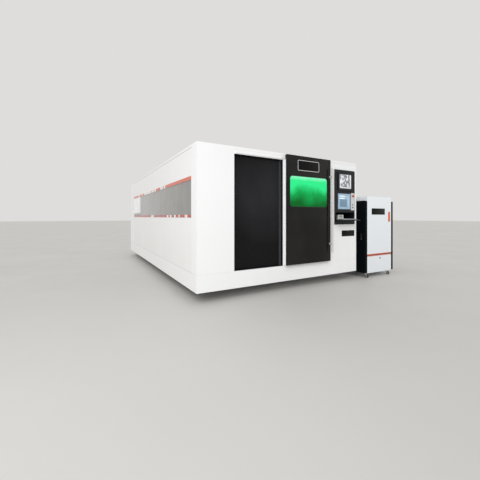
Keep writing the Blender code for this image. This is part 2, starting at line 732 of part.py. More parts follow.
def front_portal():
    """Folded front sheet: corner post, recess opening, doorway and operator column."""
    top = WALL_TOP - FIT
    portal = block("front_portal", (0, 0, WALL_BOTTOM), (ENCLOSURE_WIDTH, PORTAL_RETURN, top))
    fuse(portal, block("corner_top", (0, 0, WALL_TOP - CAP_LIP),
                       (CORNER_POST_WIDTH, PORTAL_RETURN, ENCLOSURE_TOP)))
    back = PORTAL_RETURN + OVERRUN
    cut(portal,
        block("portal_hollow", (SHEET, SHEET, WALL_BOTTOM + SHEET), (ENCLOSURE_WIDTH - SHEET, back, top - SHEET)),
        block("corner_hollow", (SHEET, SHEET, top - CAP_LIP),
              (CORNER_POST_WIDTH - SHEET, back, ENCLOSURE_TOP - SHEET)))
    sill = WALL_BOTTOM + SHEET
    doorway = ((DOOR_LEFT + DOOR_OVERLAP, sill), (DOOR_RIGHT - DOOR_OVERLAP, RECESS_TOP))
    jamb = block("jamb", (doorway[0][0] - SHEET, SHEET / 2, WALL_BOTTOM + SHEET / 2),
                 (doorway[1][0] + SHEET, JAMB_DEPTH, doorway[1][1] + SHEET))
    fuse(portal, jamb)
    cut(portal,
        block("recess_hole", (RECESS_LEFT, -OVERRUN, sill), (RECESS_RIGHT, RECESS_DEPTH + OVERRUN, RECESS_TOP)),
        block("doorway", (doorway[0][0], -OVERRUN, sill), (doorway[1][0], back, doorway[1][1])),
        block("console_hole", (CONSOLE_LEFT + BEZEL_LAP, -OVERRUN, CONSOLE_BOTTOM + BEZEL_LAP),
              (CONSOLE_RIGHT - BEZEL_LAP, JAMB_DEPTH, CONSOLE_TOP - BEZEL_LAP)),
        column_seam())
    dress(WHITE, portal)


def recess_panel():
    """Black tray-shaped panel set into the opening left of the door."""
    panel = pan("recess_panel", (RECESS_LEFT + FIT, 0, WALL_BOTTOM + SHEET + FIT),
                (RECESS_RIGHT - FIT, RECESS_DEPTH, RECESS_TOP - FIT), SHEET, (0, -1, 0))
    dress(BLACK, panel)


def side_walls():
    """Left wall with the long window opening, and the plain right wall, both with panel seams."""
    top = WALL_TOP - FIT
    for name, left, side in (("left_wall", 0, 1), ("right_wall", ENCLOSURE_WIDTH - PANEL_DEPTH, -1)):
        wall = pan(name, (left, WALL_START, WALL_BOTTOM), (left + PANEL_DEPTH, WALL_END, top), SHEET, (side, 0, 0))
        face = 0 if side > 0 else ENCLOSURE_WIDTH
        depth = (face - OVERRUN, face + SEAM_DEPTH) if side > 0 else (face - SEAM_DEPTH, face + OVERRUN)
        seam = PORTAL_RETURN + WALL_PANEL_LENGTH - SEAM_WIDTH / 2
        seams = block("seams", (depth[0], seam, WALL_BOTTOM - OVERRUN),
                      (depth[1], seam + SEAM_WIDTH, WALL_TOP + OVERRUN))
        cut(wall, repeat(seams, WALL_PANELS - 1, (0, WALL_PANEL_LENGTH, 0)))
        if side > 0:
            cut(wall, block("window_hole", (-OVERRUN, WINDOW_START, WINDOW_BOTTOM),
                            (OVERRUN, WINDOW_END, WINDOW_TOP)))
        dress(WHITE, wall)


def side_window():
    """Frosted pane, clear pane and the two trim strips of the long window."""
    inner = SHEET + FIT
    low = WINDOW_BOTTOM - WINDOW_LAP
    high = WINDOW_TOP + WINDOW_LAP
    frosted = block("side_window_frosted", (inner, WINDOW_START - WINDOW_LAP, low),
                    (inner + PANE_THICKNESS, WINDOW_SPLIT - FIT, high))
    clear = block("side_window_clear", (inner, WINDOW_SPLIT, low),
                  (inner + PANE_THICKNESS, WINDOW_END + WINDOW_LAP, high))
    upper = block("window_trim_top", (OVERALL_LEFT, WINDOW_START, WINDOW_TOP),
                  (-FIT, WINDOW_END, WINDOW_TOP + TRIM_TOP_HEIGHT))
    lower = block("window_trim_bottom", (OVERALL_LEFT, WINDOW_START, WINDOW_BOTTOM - TRIM_BOTTOM_HEIGHT),
                  (-FIT, WINDOW_END, WINDOW_BOTTOM))
    dress(FROSTED, frosted)
    dress(CLEAR, clear)
    dress(ORANGE, upper, lower)


def rear_portal():
    """Rear hood with a chamfered top edge, the exchange slot and the gate's two guides."""
    outline = [
        (REAR_PORTAL_START, WALL_BOTTOM), (ENCLOSURE_LENGTH, WALL_BOTTOM),
        (ENCLOSURE_LENGTH, ENCLOSURE_TOP - REAR_CHAMFER), (ENCLOSURE_LENGTH - REAR_CHAMFER, ENCLOSURE_TOP),
        (REAR_PORTAL_START, ENCLOSURE_TOP),
    ]
    chamfer = REAR_CHAMFER + SHEET * (1 - math.tan(math.pi / 8))
    hollow = [
        (REAR_PORTAL_START - OVERRUN, WALL_BOTTOM + SHEET), (ENCLOSURE_LENGTH - SHEET, WALL_BOTTOM + SHEET),
        (ENCLOSURE_LENGTH - SHEET, ENCLOSURE_TOP - chamfer), (ENCLOSURE_LENGTH - chamfer, ENCLOSURE_TOP - SHEET),
        (REAR_PORTAL_START - OVERRUN, ENCLOSURE_TOP - SHEET),
    ]
    portal = extrusion("rear_portal", outline, 0, ENCLOSURE_WIDTH, "X")
    cut(portal, extrusion("rear_hollow", hollow, SHEET, ENCLOSURE_WIDTH - SHEET, "X"))
    cut(portal, block("exchange_slot", (BED_CENTRE - SLOT_WIDTH / 2, ENCLOSURE_LENGTH - OVERRUN, SLOT_BOTTOM),
                      (BED_CENTRE + SLOT_WIDTH / 2, ENCLOSURE_LENGTH + OVERRUN, SLOT_TOP)))
    cut(portal, block("rear_floor_hole", (PANEL_DEPTH, REAR_PORTAL_START - OVERRUN, WALL_BOTTOM - OVERRUN),
                      (ENCLOSURE_WIDTH - PANEL_DEPTH, ENCLOSURE_LENGTH - PANEL_DEPTH, WALL_BOTTOM + OVERRUN)))
    face = ENCLOSURE_LENGTH
    channel = face + FIT + GATE_DEPTH + FIT
    for side in (-1, 1):
        edge = BED_CENTRE + side * (GATE_HALF + FIT)
        outer = edge + side * GUIDE_THICKNESS
        lip = edge - side * GUIDE_LIP
        corners = [(edge, face - SHEET / 2), (outer, face - SHEET / 2), (outer, channel + GUIDE_THICKNESS),
                   (lip, channel + GUIDE_THICKNESS), (lip, channel), (edge, channel)]
        fuse(portal, extrusion("gate_guide", corners, GATE_BOTTOM - GUIDE_SHELF, GUIDE_TOP, "Z"))
    dress(WHITE, portal)


def rear_gate():
    """Lift gate that covers the exchange slot."""
    face = ENCLOSURE_LENGTH + FIT
    gate = pan("rear_gate", (BED_CENTRE - GATE_HALF, face, GATE_BOTTOM),
               (BED_CENTRE + GATE_HALF, face + GATE_DEPTH, GATE_TOP), SHEET, (0, -1, 0))
    dress(BLACK, gate)


def roof():
    """Two shallow caps; the front one is notched around the corner post."""
    split = (REAR_PORTAL_START + PORTAL_RETURN) / 2
    post = CORNER_POST_WIDTH + FIT
    turn = PORTAL_RETURN + FIT
    outline = [(post, 0), (ENCLOSURE_WIDTH, 0), (ENCLOSURE_WIDTH, split), (0, split), (0, turn), (post, turn)]
    hollow = [(post + SHEET, SHEET), (ENCLOSURE_WIDTH - SHEET, SHEET), (ENCLOSURE_WIDTH - SHEET, split - SHEET),
              (SHEET, split - SHEET), (SHEET, turn + SHEET), (post + SHEET, turn + SHEET)]
    front = extrusion("roof_front", outline, WALL_TOP, ENCLOSURE_TOP, "Z")
    cut(front, extrusion("roof_hollow", hollow, WALL_TOP - OVERRUN, ENCLOSURE_TOP - SHEET, "Z"))
    rear = pan("roof_rear", (0, split + FIT, WALL_TOP), (ENCLOSURE_WIDTH, WALL_END, ENCLOSURE_TOP), SHEET,
               (0, 0, -1))
    for cap in (front, rear):
        cut(cap, seam_frame(WALL_TOP - OVERRUN, WALL_TOP + SEAM_WIDTH))
    dress(WHITE, front, rear)


def door():
    """Sliding door leaf with its window pane and long handle, and the track that carries it."""
    track_low = RECESS_TOP + TRACK_RISE
    track_high = track_low + TRACK_HEIGHT
    track = block("door_track", (RECESS_LEFT + TRACK_END_GAP, -FIT - TRACK_THICKNESS, track_low),
                  (DOOR_RIGHT - TRACK_END_GAP, -FIT, track_high))
    dress(WHITE, track)
    leaf = pan("door_leaf", (DOOR_LEFT, DOOR_FACE, DOOR_BOTTOM), (DOOR_RIGHT, DOOR_BACK, DOOR_TOP), SHEET,
               (0, 1, 0))
    for left in (DOOR_LEFT + HANGER_INSET, DOOR_RIGHT - HANGER_INSET - HANGER_WIDTH):
        fuse(leaf, block("hanger", (left, DOOR_FACE + SHEET / 2, track_high + FIT),
                         (left + HANGER_WIDTH, -SHEET / 2, track_high + FIT + HANGER_HEIGHT)))
    low = DOOR_BOTTOM + DOOR_WINDOW_RISE
    high = low + DOOR_WINDOW_HEIGHT
    outline = rounded((DOOR_WINDOW_LEFT, low), (DOOR_WINDOW_RIGHT, high), [DOOR_WINDOW_RADIUS] * 4)
    cut(leaf, extrusion("door_window_hole", outline, DOOR_FACE - OVERRUN, DOOR_FACE + OVERRUN, "Y"))
    dress(BLACK, leaf)
    inner = DOOR_FACE + SHEET + FIT
    lap = WINDOW_LAP
    wide = rounded((DOOR_WINDOW_LEFT - lap, low - lap), (DOOR_WINDOW_RIGHT + lap, high + lap),
                   [DOOR_WINDOW_RADIUS + lap] * 4)
    pane = extrusion("door_window", wide, inner, inner + PANE_THICKNESS, "Y")
    dress(GREEN, pane)
    door_handle()


def door_handle():
    """Flat bar on two stand-off posts."""
    right = DOOR_RIGHT - HANDLE_INSET
    left = right - HANDLE_WIDTH
    back = DOOR_FACE - HANDLE_REACH
    low = DOOR_BOTTOM + HANDLE_RISE
    section = rounded((left, back - HANDLE_THICKNESS), (right, back), [HANDLE_EDGE] * 4)
    handle = extrusion("door_handle", section, low, low + HANDLE_LENGTH, "Z")
    middle = (left + right) / 2
    for height in (low + HANDLE_POST_INSET, low + HANDLE_LENGTH - HANDLE_POST_INSET):
        fuse(handle, rod("handle_post", HANDLE_POST_RADIUS, (middle, back - HANDLE_THICKNESS / 2, height),
                         (middle, DOOR_FACE - FIT, height), "Y", SMALL_SIDES))
    dress(SILVER, handle)


def console():
    """Bezel and housing with pockets for monitor, operator panel, buttons and tray niche."""
    outline = rounded((CONSOLE_LEFT, CONSOLE_BOTTOM), (CONSOLE_RIGHT, CONSOLE_TOP), [BEZEL_RADIUS] * 4)
    housing = extrusion("console_housing", outline, BEZEL_FACE, -FIT, "Y")
    inset = BEZEL_LAP + FIT
    fuse(housing, block("console_box", (CONSOLE_LEFT + inset, BEZEL_FACE + BEZEL_PROUD / 2, CONSOLE_BOTTOM + inset),
                        (CONSOLE_RIGHT - inset, CONSOLE_DEPTH, CONSOLE_TOP - inset)))
    middle = (CONSOLE_LEFT + CONSOLE_RIGHT) / 2
    screens = (
        (middle - MONITOR_WIDTH / 2, MONITOR_BOTTOM, MONITOR_WIDTH, MONITOR_HEIGHT, MONITOR_DEPTH),
        (HMI_LEFT, HMI_BOTTOM, HMI_WIDTH, HMI_HEIGHT, HMI_DEPTH),
    )
    for left, low, width, height, depth in screens:
        cut(housing, block("screen_pocket", (left - FIT, BEZEL_FACE - OVERRUN, low - FIT),
                           (left + width + FIT, BEZEL_FACE + depth + FIT, low + height + FIT)))
    well = BUTTON_RADIUS + ESTOP_RADIUS
    cut(housing, block("button_well", (BUTTON_CENTRE - well, BEZEL_FACE - OVERRUN, BUTTON_BOTTOM + well / 2),
                       (BUTTON_CENTRE + well, BEZEL_FACE + BUTTON_WELL_DEPTH, BUTTON_TOP - well / 2)))
    cut(housing, block("niche", (CONSOLE_LEFT + NICHE_MARGIN, BEZEL_FACE - OVERRUN, NICHE_BOTTOM),
                       (CONSOLE_RIGHT - NICHE_MARGIN, NICHE_DEPTH, NICHE_TOP)))
    dress(BLACK, housing)
    names = (("upper_monitor", MONITOR_FRAME, MONITOR_PROUD, BLACK), ("hmi_panel", HMI_FRAME, HMI_PROUD, SILVER))
    for (left, low, width, height, depth), (name, frame, proud, surface) in zip(screens, names):
        face = BEZEL_FACE - proud
        outline = rounded((left, low), (left + width, low + height), [BEZEL_RADIUS / 2] * 4)
        screen = extrusion(name, outline, face, BEZEL_FACE + depth, "Y")
        cut(screen, block("screen_sink", (left + frame, face - OVERRUN, low + frame),
                          (left + width - frame, face + SCREEN_SINK, low + height - frame)))
        dress(surface, screen)


def buttons():
    """Button strip, emergency stop and two push buttons that travel into its holes."""
    panel = block("button_panel", (BUTTON_LEFT, PANEL_FACE, BUTTON_BOTTOM),
                  (BUTTON_RIGHT, BEZEL_FACE - FIT, BUTTON_TOP))
    dress(SILVER, panel)
    pitch = BUTTON_PANEL_HEIGHT / BUTTON_STATIONS
    places = (
        ("estop_button", BUTTON_TOP - pitch, ESTOP_RADIUS, ESTOP_STEM_RADIUS, ESTOP_REACH, RED),
        ("start_button", BUTTON_BOTTOM + pitch + pitch, BUTTON_RADIUS, BUTTON_RADIUS, BUTTON_REACH, GREEN),
        ("stop_button", BUTTON_BOTTOM + pitch, BUTTON_RADIUS, BUTTON_RADIUS, BUTTON_REACH, BLACK),
    )
    for name, height, head, stem, reach, surface in places:
        cut(panel, rod("button_hole", stem + STEM_CLEARANCE, (BUTTON_CENTRE, PANEL_FACE - OVERRUN, height),
                       (BUTTON_CENTRE, PANEL_FACE + OVERRUN, height), "Y", ROUND_SIDES))
        dome = reach / 4
        underside = ESTOP_TRAVEL if head > stem else reach / 2
        profile = [(0, reach), (head - dome, reach), (head, reach - dome), (head, underside),
                   (stem, underside), (stem, -STEM_LENGTH), (0, -STEM_LENGTH)]
        button = turned(name, profile, (BUTTON_CENTRE, PANEL_FACE, height), "Y")
        dress(surface, button)


def keyboard_tray():
    """Pull-out tray that carries a keyboard and a hand pendant."""
    left = CONSOLE_LEFT + NICHE_MARGIN + FIT
    right = CONSOLE_RIGHT - NICHE_MARGIN - FIT
    low = NICHE_BOTTOM + FIT
    top = low + TRAY_THICKNESS
    back = -TRAY_REACH + TRAY_LENGTH
    outline = rounded((left, -TRAY_REACH), (right, back), [TRAY_RADIUS, TRAY_RADIUS, 0, 0])
    tray = extrusion("keyboard_tray", outline, low, top, "Z")
    sunk = rounded((left + TRAY_LIP, -TRAY_REACH + TRAY_LIP), (right - TRAY_LIP, back - TRAY_LIP),
                   [TRAY_RADIUS - TRAY_LIP] * 4)
    floor = top - TRAY_LIP
    cut(tray, extrusion("tray_floor", sunk, floor, top + OVERRUN, "Z"))
    dress(BLACK, tray)
    board_left = (left + right - KEYBOARD_WIDTH) / 2
    front = -TRAY_REACH + KEYBOARD_SETBACK
    rest = floor + FIT
    profile = [(front, rest), (front + KEYBOARD_LENGTH, rest), (front + KEYBOARD_LENGTH, rest + KEYBOARD_HEIGHT),
               (front, rest + KEYBOARD_HEIGHT - KEYBOARD_SLOPE)]
    board = extrusion("keyboard", profile, board_left, board_left + KEYBOARD_WIDTH, "X")
    dress(GREY, board)
    pendant_left = left + PENDANT_INSET
    pendant_front = front + KEYBOARD_LENGTH + PENDANT_GAP
    outline = rounded((pendant_left, rest), (pendant_left + PENDANT_WIDTH, rest + PENDANT_HEIGHT),
                      [PENDANT_RADIUS] * 4)
    pendant = extrusion("hand_pendant", outline, pendant_front, pendant_front + PENDANT_THICKNESS, "Y")
    dress(PALE, pendant)


def bed_frame():
    """Welded bed: two ported side beams, end and cross beams, pallet ledges and legs."""
    left_outer = BED_CENTRE - BED_OUTER
    frame = block("bed_frame", (left_outer, BED_START, SIDE_BEAM_BOTTOM),
                  (left_outer + SIDE_BEAM_WIDTH, BED_END, BED_TOP))
    fuse(frame, block("right_beam", (BED_CENTRE + BED_INNER, BED_START, SIDE_BEAM_BOTTOM),
                      (BED_CENTRE + BED_OUTER, BED_END, BED_TOP)))
    inner_left = BED_CENTRE - BED_INNER - OVERRUN
    inner_right = BED_CENTRE + BED_INNER + OVERRUN
    for start in (BED_START, BED_END - END_BEAM_WIDTH):
        fuse(frame, block("end_beam", (inner_left, start, SIDE_BEAM_BOTTOM),
                          (inner_right, start + END_BEAM_WIDTH, SIDE_BEAM_BOTTOM + END_BEAM_HEIGHT)))
    step = (BED_END - BED_START) / (CROSS_BEAMS + 1)
    start = BED_START + step - CROSS_BEAM_SIZE / 2
    fuse(frame, repeat(block("cross_beams", (inner_left, start, SIDE_BEAM_BOTTOM),
                             (inner_right, start + CROSS_BEAM_SIZE, SIDE_BEAM_BOTTOM + CROSS_BEAM_SIZE)),
                       CROSS_BEAMS, (0, step, 0)))
    for side in (-1, 1):
        wall = BED_CENTRE + side * (BED_INNER + SHEET)
        edge = BED_CENTRE + side * (BED_INNER - LEDGE_WIDTH)
        span = (min(wall, edge), max(wall, edge))
        fuse(frame, block("ledge", (span[0], BED_START + END_BEAM_WIDTH, LEDGE_TOP - LEDGE_THICKNESS),
                          (span[1], LEDGE_END, LEDGE_TOP)))
        post_end = LEDGE_END - LEDGE_POST_GAP
        ledge_middle = (span[0] + span[1]) / 2
        fuse(frame, block("ledge_post", (ledge_middle - LEDGE_POST / 2, post_end - LEDGE_POST, 0),
                          (ledge_middle + LEDGE_POST / 2, post_end, LEDGE_TOP - LEDGE_THICKNESS / 2)))
        centre = BED_CENTRE + side * (BED_INNER + SIDE_BEAM_WIDTH / 2)
        first = BED_START + LEG_INSET + LEG_SIZE / 2
        leg_step = (BED_END - BED_START - 2 * LEG_INSET - LEG_SIZE) / (LEGS_ALONG - 1)
        legs = block("legs", (centre - LEG_SIZE / 2, first - LEG_SIZE / 2, 0),
                     (centre + LEG_SIZE / 2, first + LEG_SIZE / 2, SIDE_BEAM_BOTTOM + OVERRUN))
        pads = block("leg_pads", (centre - LEG_PAD_SIZE / 2, first - LEG_PAD_SIZE / 2, 0),
                     (centre + LEG_PAD_SIZE / 2, first + LEG_PAD_SIZE / 2, LEG_PAD_HEIGHT))
        fuse(frame, repeat(legs, LEGS_ALONG, (0, leg_step, 0)), repeat(pads, LEGS_ALONG, (0, leg_step, 0)))
    cut(frame, repeat(port_tool(), PORTS, (0, (BED_END - BED_START) / PORTS, 0)))
    dress(DARK_STEEL, frame)


def port_tool():
    """Round-ended air port, cut through both side beams below the ledges."""
    middle = BED_START + (BED_END - BED_START) / (2 * PORTS)
    low = SIDE_BEAM_BOTTOM + PORT_RISE
    outline = rounded((middle - PORT_LENGTH / 2, low), (middle + PORT_LENGTH / 2, low + PORT_HEIGHT),
                      [PORT_HEIGHT / 2 - SHEET] * 4)
    return extrusion("ports", outline, BED_CENTRE - BED_OUTER - OVERRUN, BED_CENTRE + BED_OUTER + OVERRUN, "X")


def guide_rails():
    """Profiled linear rails and the racks beside them, on both side beams."""
    start = BED_START + RAIL_END_GAP
    end = BED_END - RAIL_END_GAP
    low = BED_TOP + FIT
    half = RAIL_WIDTH / 2
    for name, side in (("left", -1), ("right", 1)):
        middle = BED_CENTRE + side * RAIL_OFFSET
        waist = half - RAIL_GROOVE
        section = [(middle - half, low), (middle + half, low), (middle + half, low + RAIL_HEIGHT / 3),
                   (middle + waist, low + RAIL_HEIGHT / 2), (middle + half, low + RAIL_HEIGHT * 2 / 3),
                   (middle + half, low + RAIL_HEIGHT), (middle - half, low + RAIL_HEIGHT),
                   (middle - half, low + RAIL_HEIGHT * 2 / 3), (middle - waist, low + RAIL_HEIGHT / 2),
                   (middle - half, low + RAIL_HEIGHT / 3)]
        dress(STEEL, extrusion("rail_" + name, section, start, end, "Y"))
        outer = BED_CENTRE + side * RACK_OUTER
        inner = outer - side * RACK_SIZE
        rack = block("rack_" + name, (min(outer, inner), start, low), (max(outer, inner), end, low + RACK_SIZE))
        dress(STEEL, rack)


def gear_outline():
    """Spur gear outline with straight flanks, one tooth at a time."""
    root = PITCH_RADIUS - 1.25 * GEAR_MODULE
    flank_shares = (-0.30, -0.13, 0.13, 0.30)
    outline = []
    for tooth in range(PINION_TEETH):
        for share, radius in zip(flank_shares, (root, TIP_RADIUS, TIP_RADIUS, root)):
            angle = (tooth + share) * 2 * math.pi / PINION_TEETH
            outline.append((radius * math.cos(angle), radius * math.sin(angle)))
    return outline


def gantry():
    """Cross beam with saddles, guide blocks and cross rails, plus drives and pinions."""
    section = [
        (GANTRY_CENTRE - BEAM_DEPTH / 2, SADDLE_TOP - SHEET), (BEAM_FACE, SADDLE_TOP - SHEET), (BEAM_FACE, BEAM_TOP),
        (GANTRY_CENTRE - BEAM_DEPTH / 2 + BEAM_CHAMFER, BEAM_TOP),
        (GANTRY_CENTRE - BEAM_DEPTH / 2, BEAM_TOP - BEAM_CHAMFER),
    ]
    beam = extrusion("gantry_beam", section, BED_CENTRE - BEAM_REACH, BED_CENTRE + BEAM_REACH, "X")
    for height in (CROSS_RAIL_LOW, CROSS_RAIL_HIGH):
        rail_end = BEAM_REACH - CROSS_RAIL_END_GAP
        fuse(beam, block("cross_rail", (BED_CENTRE - rail_end, BEAM_FACE - SHEET, height - RAIL_WIDTH / 2),
                         (BED_CENTRE + rail_end, BEAM_FACE + RAIL_HEIGHT, height + RAIL_WIDTH / 2)))
    for name, side in (("left", -1), ("right", 1)):
        gantry_end(beam, name, side)
    dress(GREY, beam)


def gantry_end(beam, name, side):
    """One saddle with its two guide blocks, gussets, drive and pinion."""
    outer = BED_CENTRE + side * SADDLE_OUTER
    inner = BED_CENTRE + side * SADDLE_INNER
    front = GANTRY_CENTRE - SADDLE_LENGTH / 2
    fuse(beam, block("saddle", (min(outer, inner), front, SADDLE_BOTTOM),
                     (max(outer, inner), front + SADDLE_LENGTH, SADDLE_TOP)))
    rail = BED_CENTRE + side * RAIL_OFFSET
    for start in (front, front + SADDLE_LENGTH - BLOCK_LENGTH):
        guide = block("guide_block", (rail - BLOCK_WIDTH / 2, start, SADDLE_BOTTOM - BLOCK_HEIGHT),
                      (rail + BLOCK_WIDTH / 2, start + BLOCK_LENGTH, SADDLE_BOTTOM + SHEET))
        fuse(beam, guide)
    slot = RAIL_WIDTH / 2 + FIT
    cut(beam, block("rail_slot", (rail - slot, front - OVERRUN, SADDLE_BOTTOM - BLOCK_HEIGHT - OVERRUN),
                    (rail + slot, front + SADDLE_LENGTH + OVERRUN, RAIL_TOP + FIT)))
    root = BED_CENTRE + side * (BEAM_REACH - GUSSET_THICKNESS)
    tip = root + side * GUSSET_THICKNESS
    for direction in (-1, 1):
        wall = GANTRY_CENTRE + direction * (BEAM_DEPTH / 2 - SHEET)
        gusset = [(wall, SADDLE_TOP - SHEET), (wall + direction * GUSSET_LENGTH, SADDLE_TOP - SHEET),
                  (wall, SADDLE_TOP + GUSSET_HEIGHT)]
        fuse(beam, extrusion("gusset", gusset, min(root, tip), max(root, tip), "X"))
    axis = BED_CENTRE + side * PINION_OFFSET
    gearbox_low = SADDLE_TOP + FIT
    gearbox_top = gearbox_low + GEARBOX_HEIGHT
    shaft_top = gearbox_low + GEARBOX_HEIGHT / 2
    cut(beam, rod("shaft_hole", SHAFT_RADIUS + STEM_CLEARANCE, (axis, GANTRY_CENTRE, SADDLE_BOTTOM - OVERRUN),
                  (axis, GANTRY_CENTRE, SADDLE_TOP + OVERRUN), "Z", ROUND_SIDES))
    half = GEARBOX_SIZE / 2
    drive = block("drive_" + name, (axis - half, GANTRY_CENTRE - half, gearbox_low),
                  (axis + half, GANTRY_CENTRE + half, gearbox_top))
    motor_half = MOTOR_SIZE / 2
    motor = rounded((axis - motor_half, GANTRY_CENTRE - motor_half), (axis + motor_half, GANTRY_CENTRE + motor_half),
                    [MOTOR_SIZE / 8] * 4)
    fuse(drive, extrusion("motor", motor, gearbox_top - SHEET, gearbox_top + MOTOR_HEIGHT, "Z"))
    cut(drive, rod("drive_bore", SHAFT_RADIUS + STEM_CLEARANCE, (axis, GANTRY_CENTRE, gearbox_low - OVERRUN),
                   (axis, GANTRY_CENTRE, shaft_top + FIT), "Z", ROUND_SIDES))
    dress(BLACK, drive)
    outline = [(axis + x, GANTRY_CENTRE + y) for x, y in gear_outline()]
    pinion = extrusion("pinion_" + name, outline, PINION_BOTTOM, PINION_BOTTOM + PINION_WIDTH, "Z")
    fuse(pinion, rod("pinion_shaft", SHAFT_RADIUS, (axis, GANTRY_CENTRE, PINION_BOTTOM + PINION_WIDTH / 2),
                     (axis, GANTRY_CENTRE, shaft_top), "Z", ROUND_SIDES))
    dress(STEEL, pinion)


def cross_carriage():
    """Plate on four guide blocks that runs along the beam, with the Z motor on its top."""
    left = HEAD_CENTRE_X - CARRIAGE_WIDTH / 2
    right = HEAD_CENTRE_X + CARRIAGE_WIDTH / 2
    carriage = block("cross_carriage", (left, CARRIAGE_BACK, CARRIAGE_BOTTOM), (right, CARRIAGE_FACE, CARRIAGE_TOP))
    slot = RAIL_WIDTH / 2 + FIT
    for height in (CROSS_RAIL_LOW, CROSS_RAIL_HIGH):
        for start in (left, right - BLOCK_LENGTH):
            fuse(carriage, block("cross_block", (start, BEAM_FACE + BLOCK_LIFT, height - BLOCK_WIDTH / 2),
                                 (start + BLOCK_LENGTH, CARRIAGE_BACK + SHEET, height + BLOCK_WIDTH / 2)))
        cut(carriage, block("cross_slot", (left - OVERRUN, BEAM_FACE, height - slot),
                            (right + OVERRUN, BEAM_FACE + RAIL_HEIGHT + FIT, height + slot)))
    rail = Z_RAIL_WIDTH / 2
    fuse(carriage, block("z_rail", (HEAD_CENTRE_X - rail, CARRIAGE_FACE - SHEET, CARRIAGE_BOTTOM),
                         (HEAD_CENTRE_X + rail, CARRIAGE_FACE + Z_RAIL_DEPTH, CARRIAGE_TOP)))
    half = MOTOR_SIZE / 2
    back = CARRIAGE_FACE - MOTOR_SIZE
    motor = rounded((HEAD_CENTRE_X - half, back), (HEAD_CENTRE_X + half, CARRIAGE_FACE), [MOTOR_SIZE / 8] * 4)
    fuse(carriage, extrusion("z_motor", motor, CARRIAGE_TOP - SHEET, CARRIAGE_TOP + MOTOR_HEIGHT, "Z"))
    dress(GREY, carriage)


def z_slide():
    """Slide on the carriage's Z rail, with two bored clamps around the laser head."""
    half = SLIDE_WIDTH / 2
    slide = block("z_slide", (HEAD_CENTRE_X - half, SLIDE_BACK, SLIDE_BOTTOM),
                  (HEAD_CENTRE_X + half, SLIDE_FACE, SLIDE_TOP))
    groove = Z_RAIL_WIDTH / 2 + FIT
    cut(slide, block("z_groove", (HEAD_CENTRE_X - groove, CARRIAGE_FACE - OVERRUN, SLIDE_BOTTOM - OVERRUN),
                     (HEAD_CENTRE_X + groove, CARRIAGE_FACE + Z_RAIL_DEPTH + FIT, SLIDE_TOP + OVERRUN)))
    clamp = HEAD_RADIUS + CLAMP_MARGIN
    low = SLIDE_BOTTOM + CLAMP_MARGIN
    for start in (low, low + CLAMP_HEIGHT + CLAMP_GAP):
        outline = rounded((HEAD_CENTRE_X - clamp, SLIDE_FACE - SHEET), (HEAD_CENTRE_X + clamp, HEAD_CENTRE_Y + clamp),
                          [0, 0, CLAMP_MARGIN, CLAMP_MARGIN])
        fuse(slide, extrusion("head_clamp", outline, start, start + CLAMP_HEIGHT, "Z"))
    cut(slide, rod("head_bore", HEAD_RADIUS + STEM_CLEARANCE, (HEAD_CENTRE_X, HEAD_CENTRE_Y, SLIDE_BOTTOM - OVERRUN),
                   (HEAD_CENTRE_X, HEAD_CENTRE_Y, SLIDE_TOP + OVERRUN), "Z", ROUND_SIDES))
    dress(STEEL, slide)


def laser_head():
    """Turned cutting head: fibre socket, collimator, focus body, cone and nozzle."""
    top = SLIDE_TOP + HEAD_ABOVE
    neck = SLIDE_BOTTOM - HEAD_BELOW
    tip = neck - HEAD_CONE
    ring = HEAD_RADIUS + CLAMP_MARGIN / 2
    profile = [
        (0, top + SOCKET_LENGTH), (SOCKET_RADIUS, top + SOCKET_LENGTH), (SOCKET_RADIUS, top),
        (HEAD_RADIUS - CLAMP_MARGIN / 2, top), (HEAD_RADIUS, top - CLAMP_MARGIN),
        (HEAD_RADIUS, SLIDE_BOTTOM - CLAMP_MARGIN), (ring, SLIDE_BOTTOM - CLAMP_MARGIN),
        (ring, neck), (NOZZLE_RADIUS, tip), (NOZZLE_RADIUS, tip - NOZZLE_LENGTH / 2),
        (NOZZLE_TIP_RADIUS, tip - NOZZLE_LENGTH), (0, tip - NOZZLE_LENGTH),
    ]
    head = turned("laser_head", [(radius, height - SLIDE_BOTTOM) for radius, height in profile],
                  (HEAD_CENTRE_X, HEAD_CENTRE_Y, SLIDE_BOTTOM), "Z")
    dress(BLACK, head)


def slat_outline():
    """Toothed slat seen from the front: flat-tipped points along the top edge."""
    left = BED_CENTRE - PALLET_WIDTH / 2 + PALLET_SIDE_WIDTH / 2
    right = BED_CENTRE + PALLET_WIDTH / 2 - PALLET_SIDE_WIDTH / 2
    low = PALLET_BOTTOM + SLAT_RISE
    teeth = max(2, int((right - left) / TOOTH_PITCH))
    pitch = (right - left) / teeth
    outline = [(left, low), (right, low)]
    for tooth in reversed(range(teeth)):
        peak = left + (tooth + 0.5) * pitch
        outline.append((peak + pitch / 2, SLAT_TOP - TOOTH_DEPTH))
        outline.append((peak + TOOTH_TIP / 2, SLAT_TOP))
        outline.append((peak - TOOTH_TIP / 2, SLAT_TOP))
    outline.append((left, SLAT_TOP - TOOTH_DEPTH))
    return outline


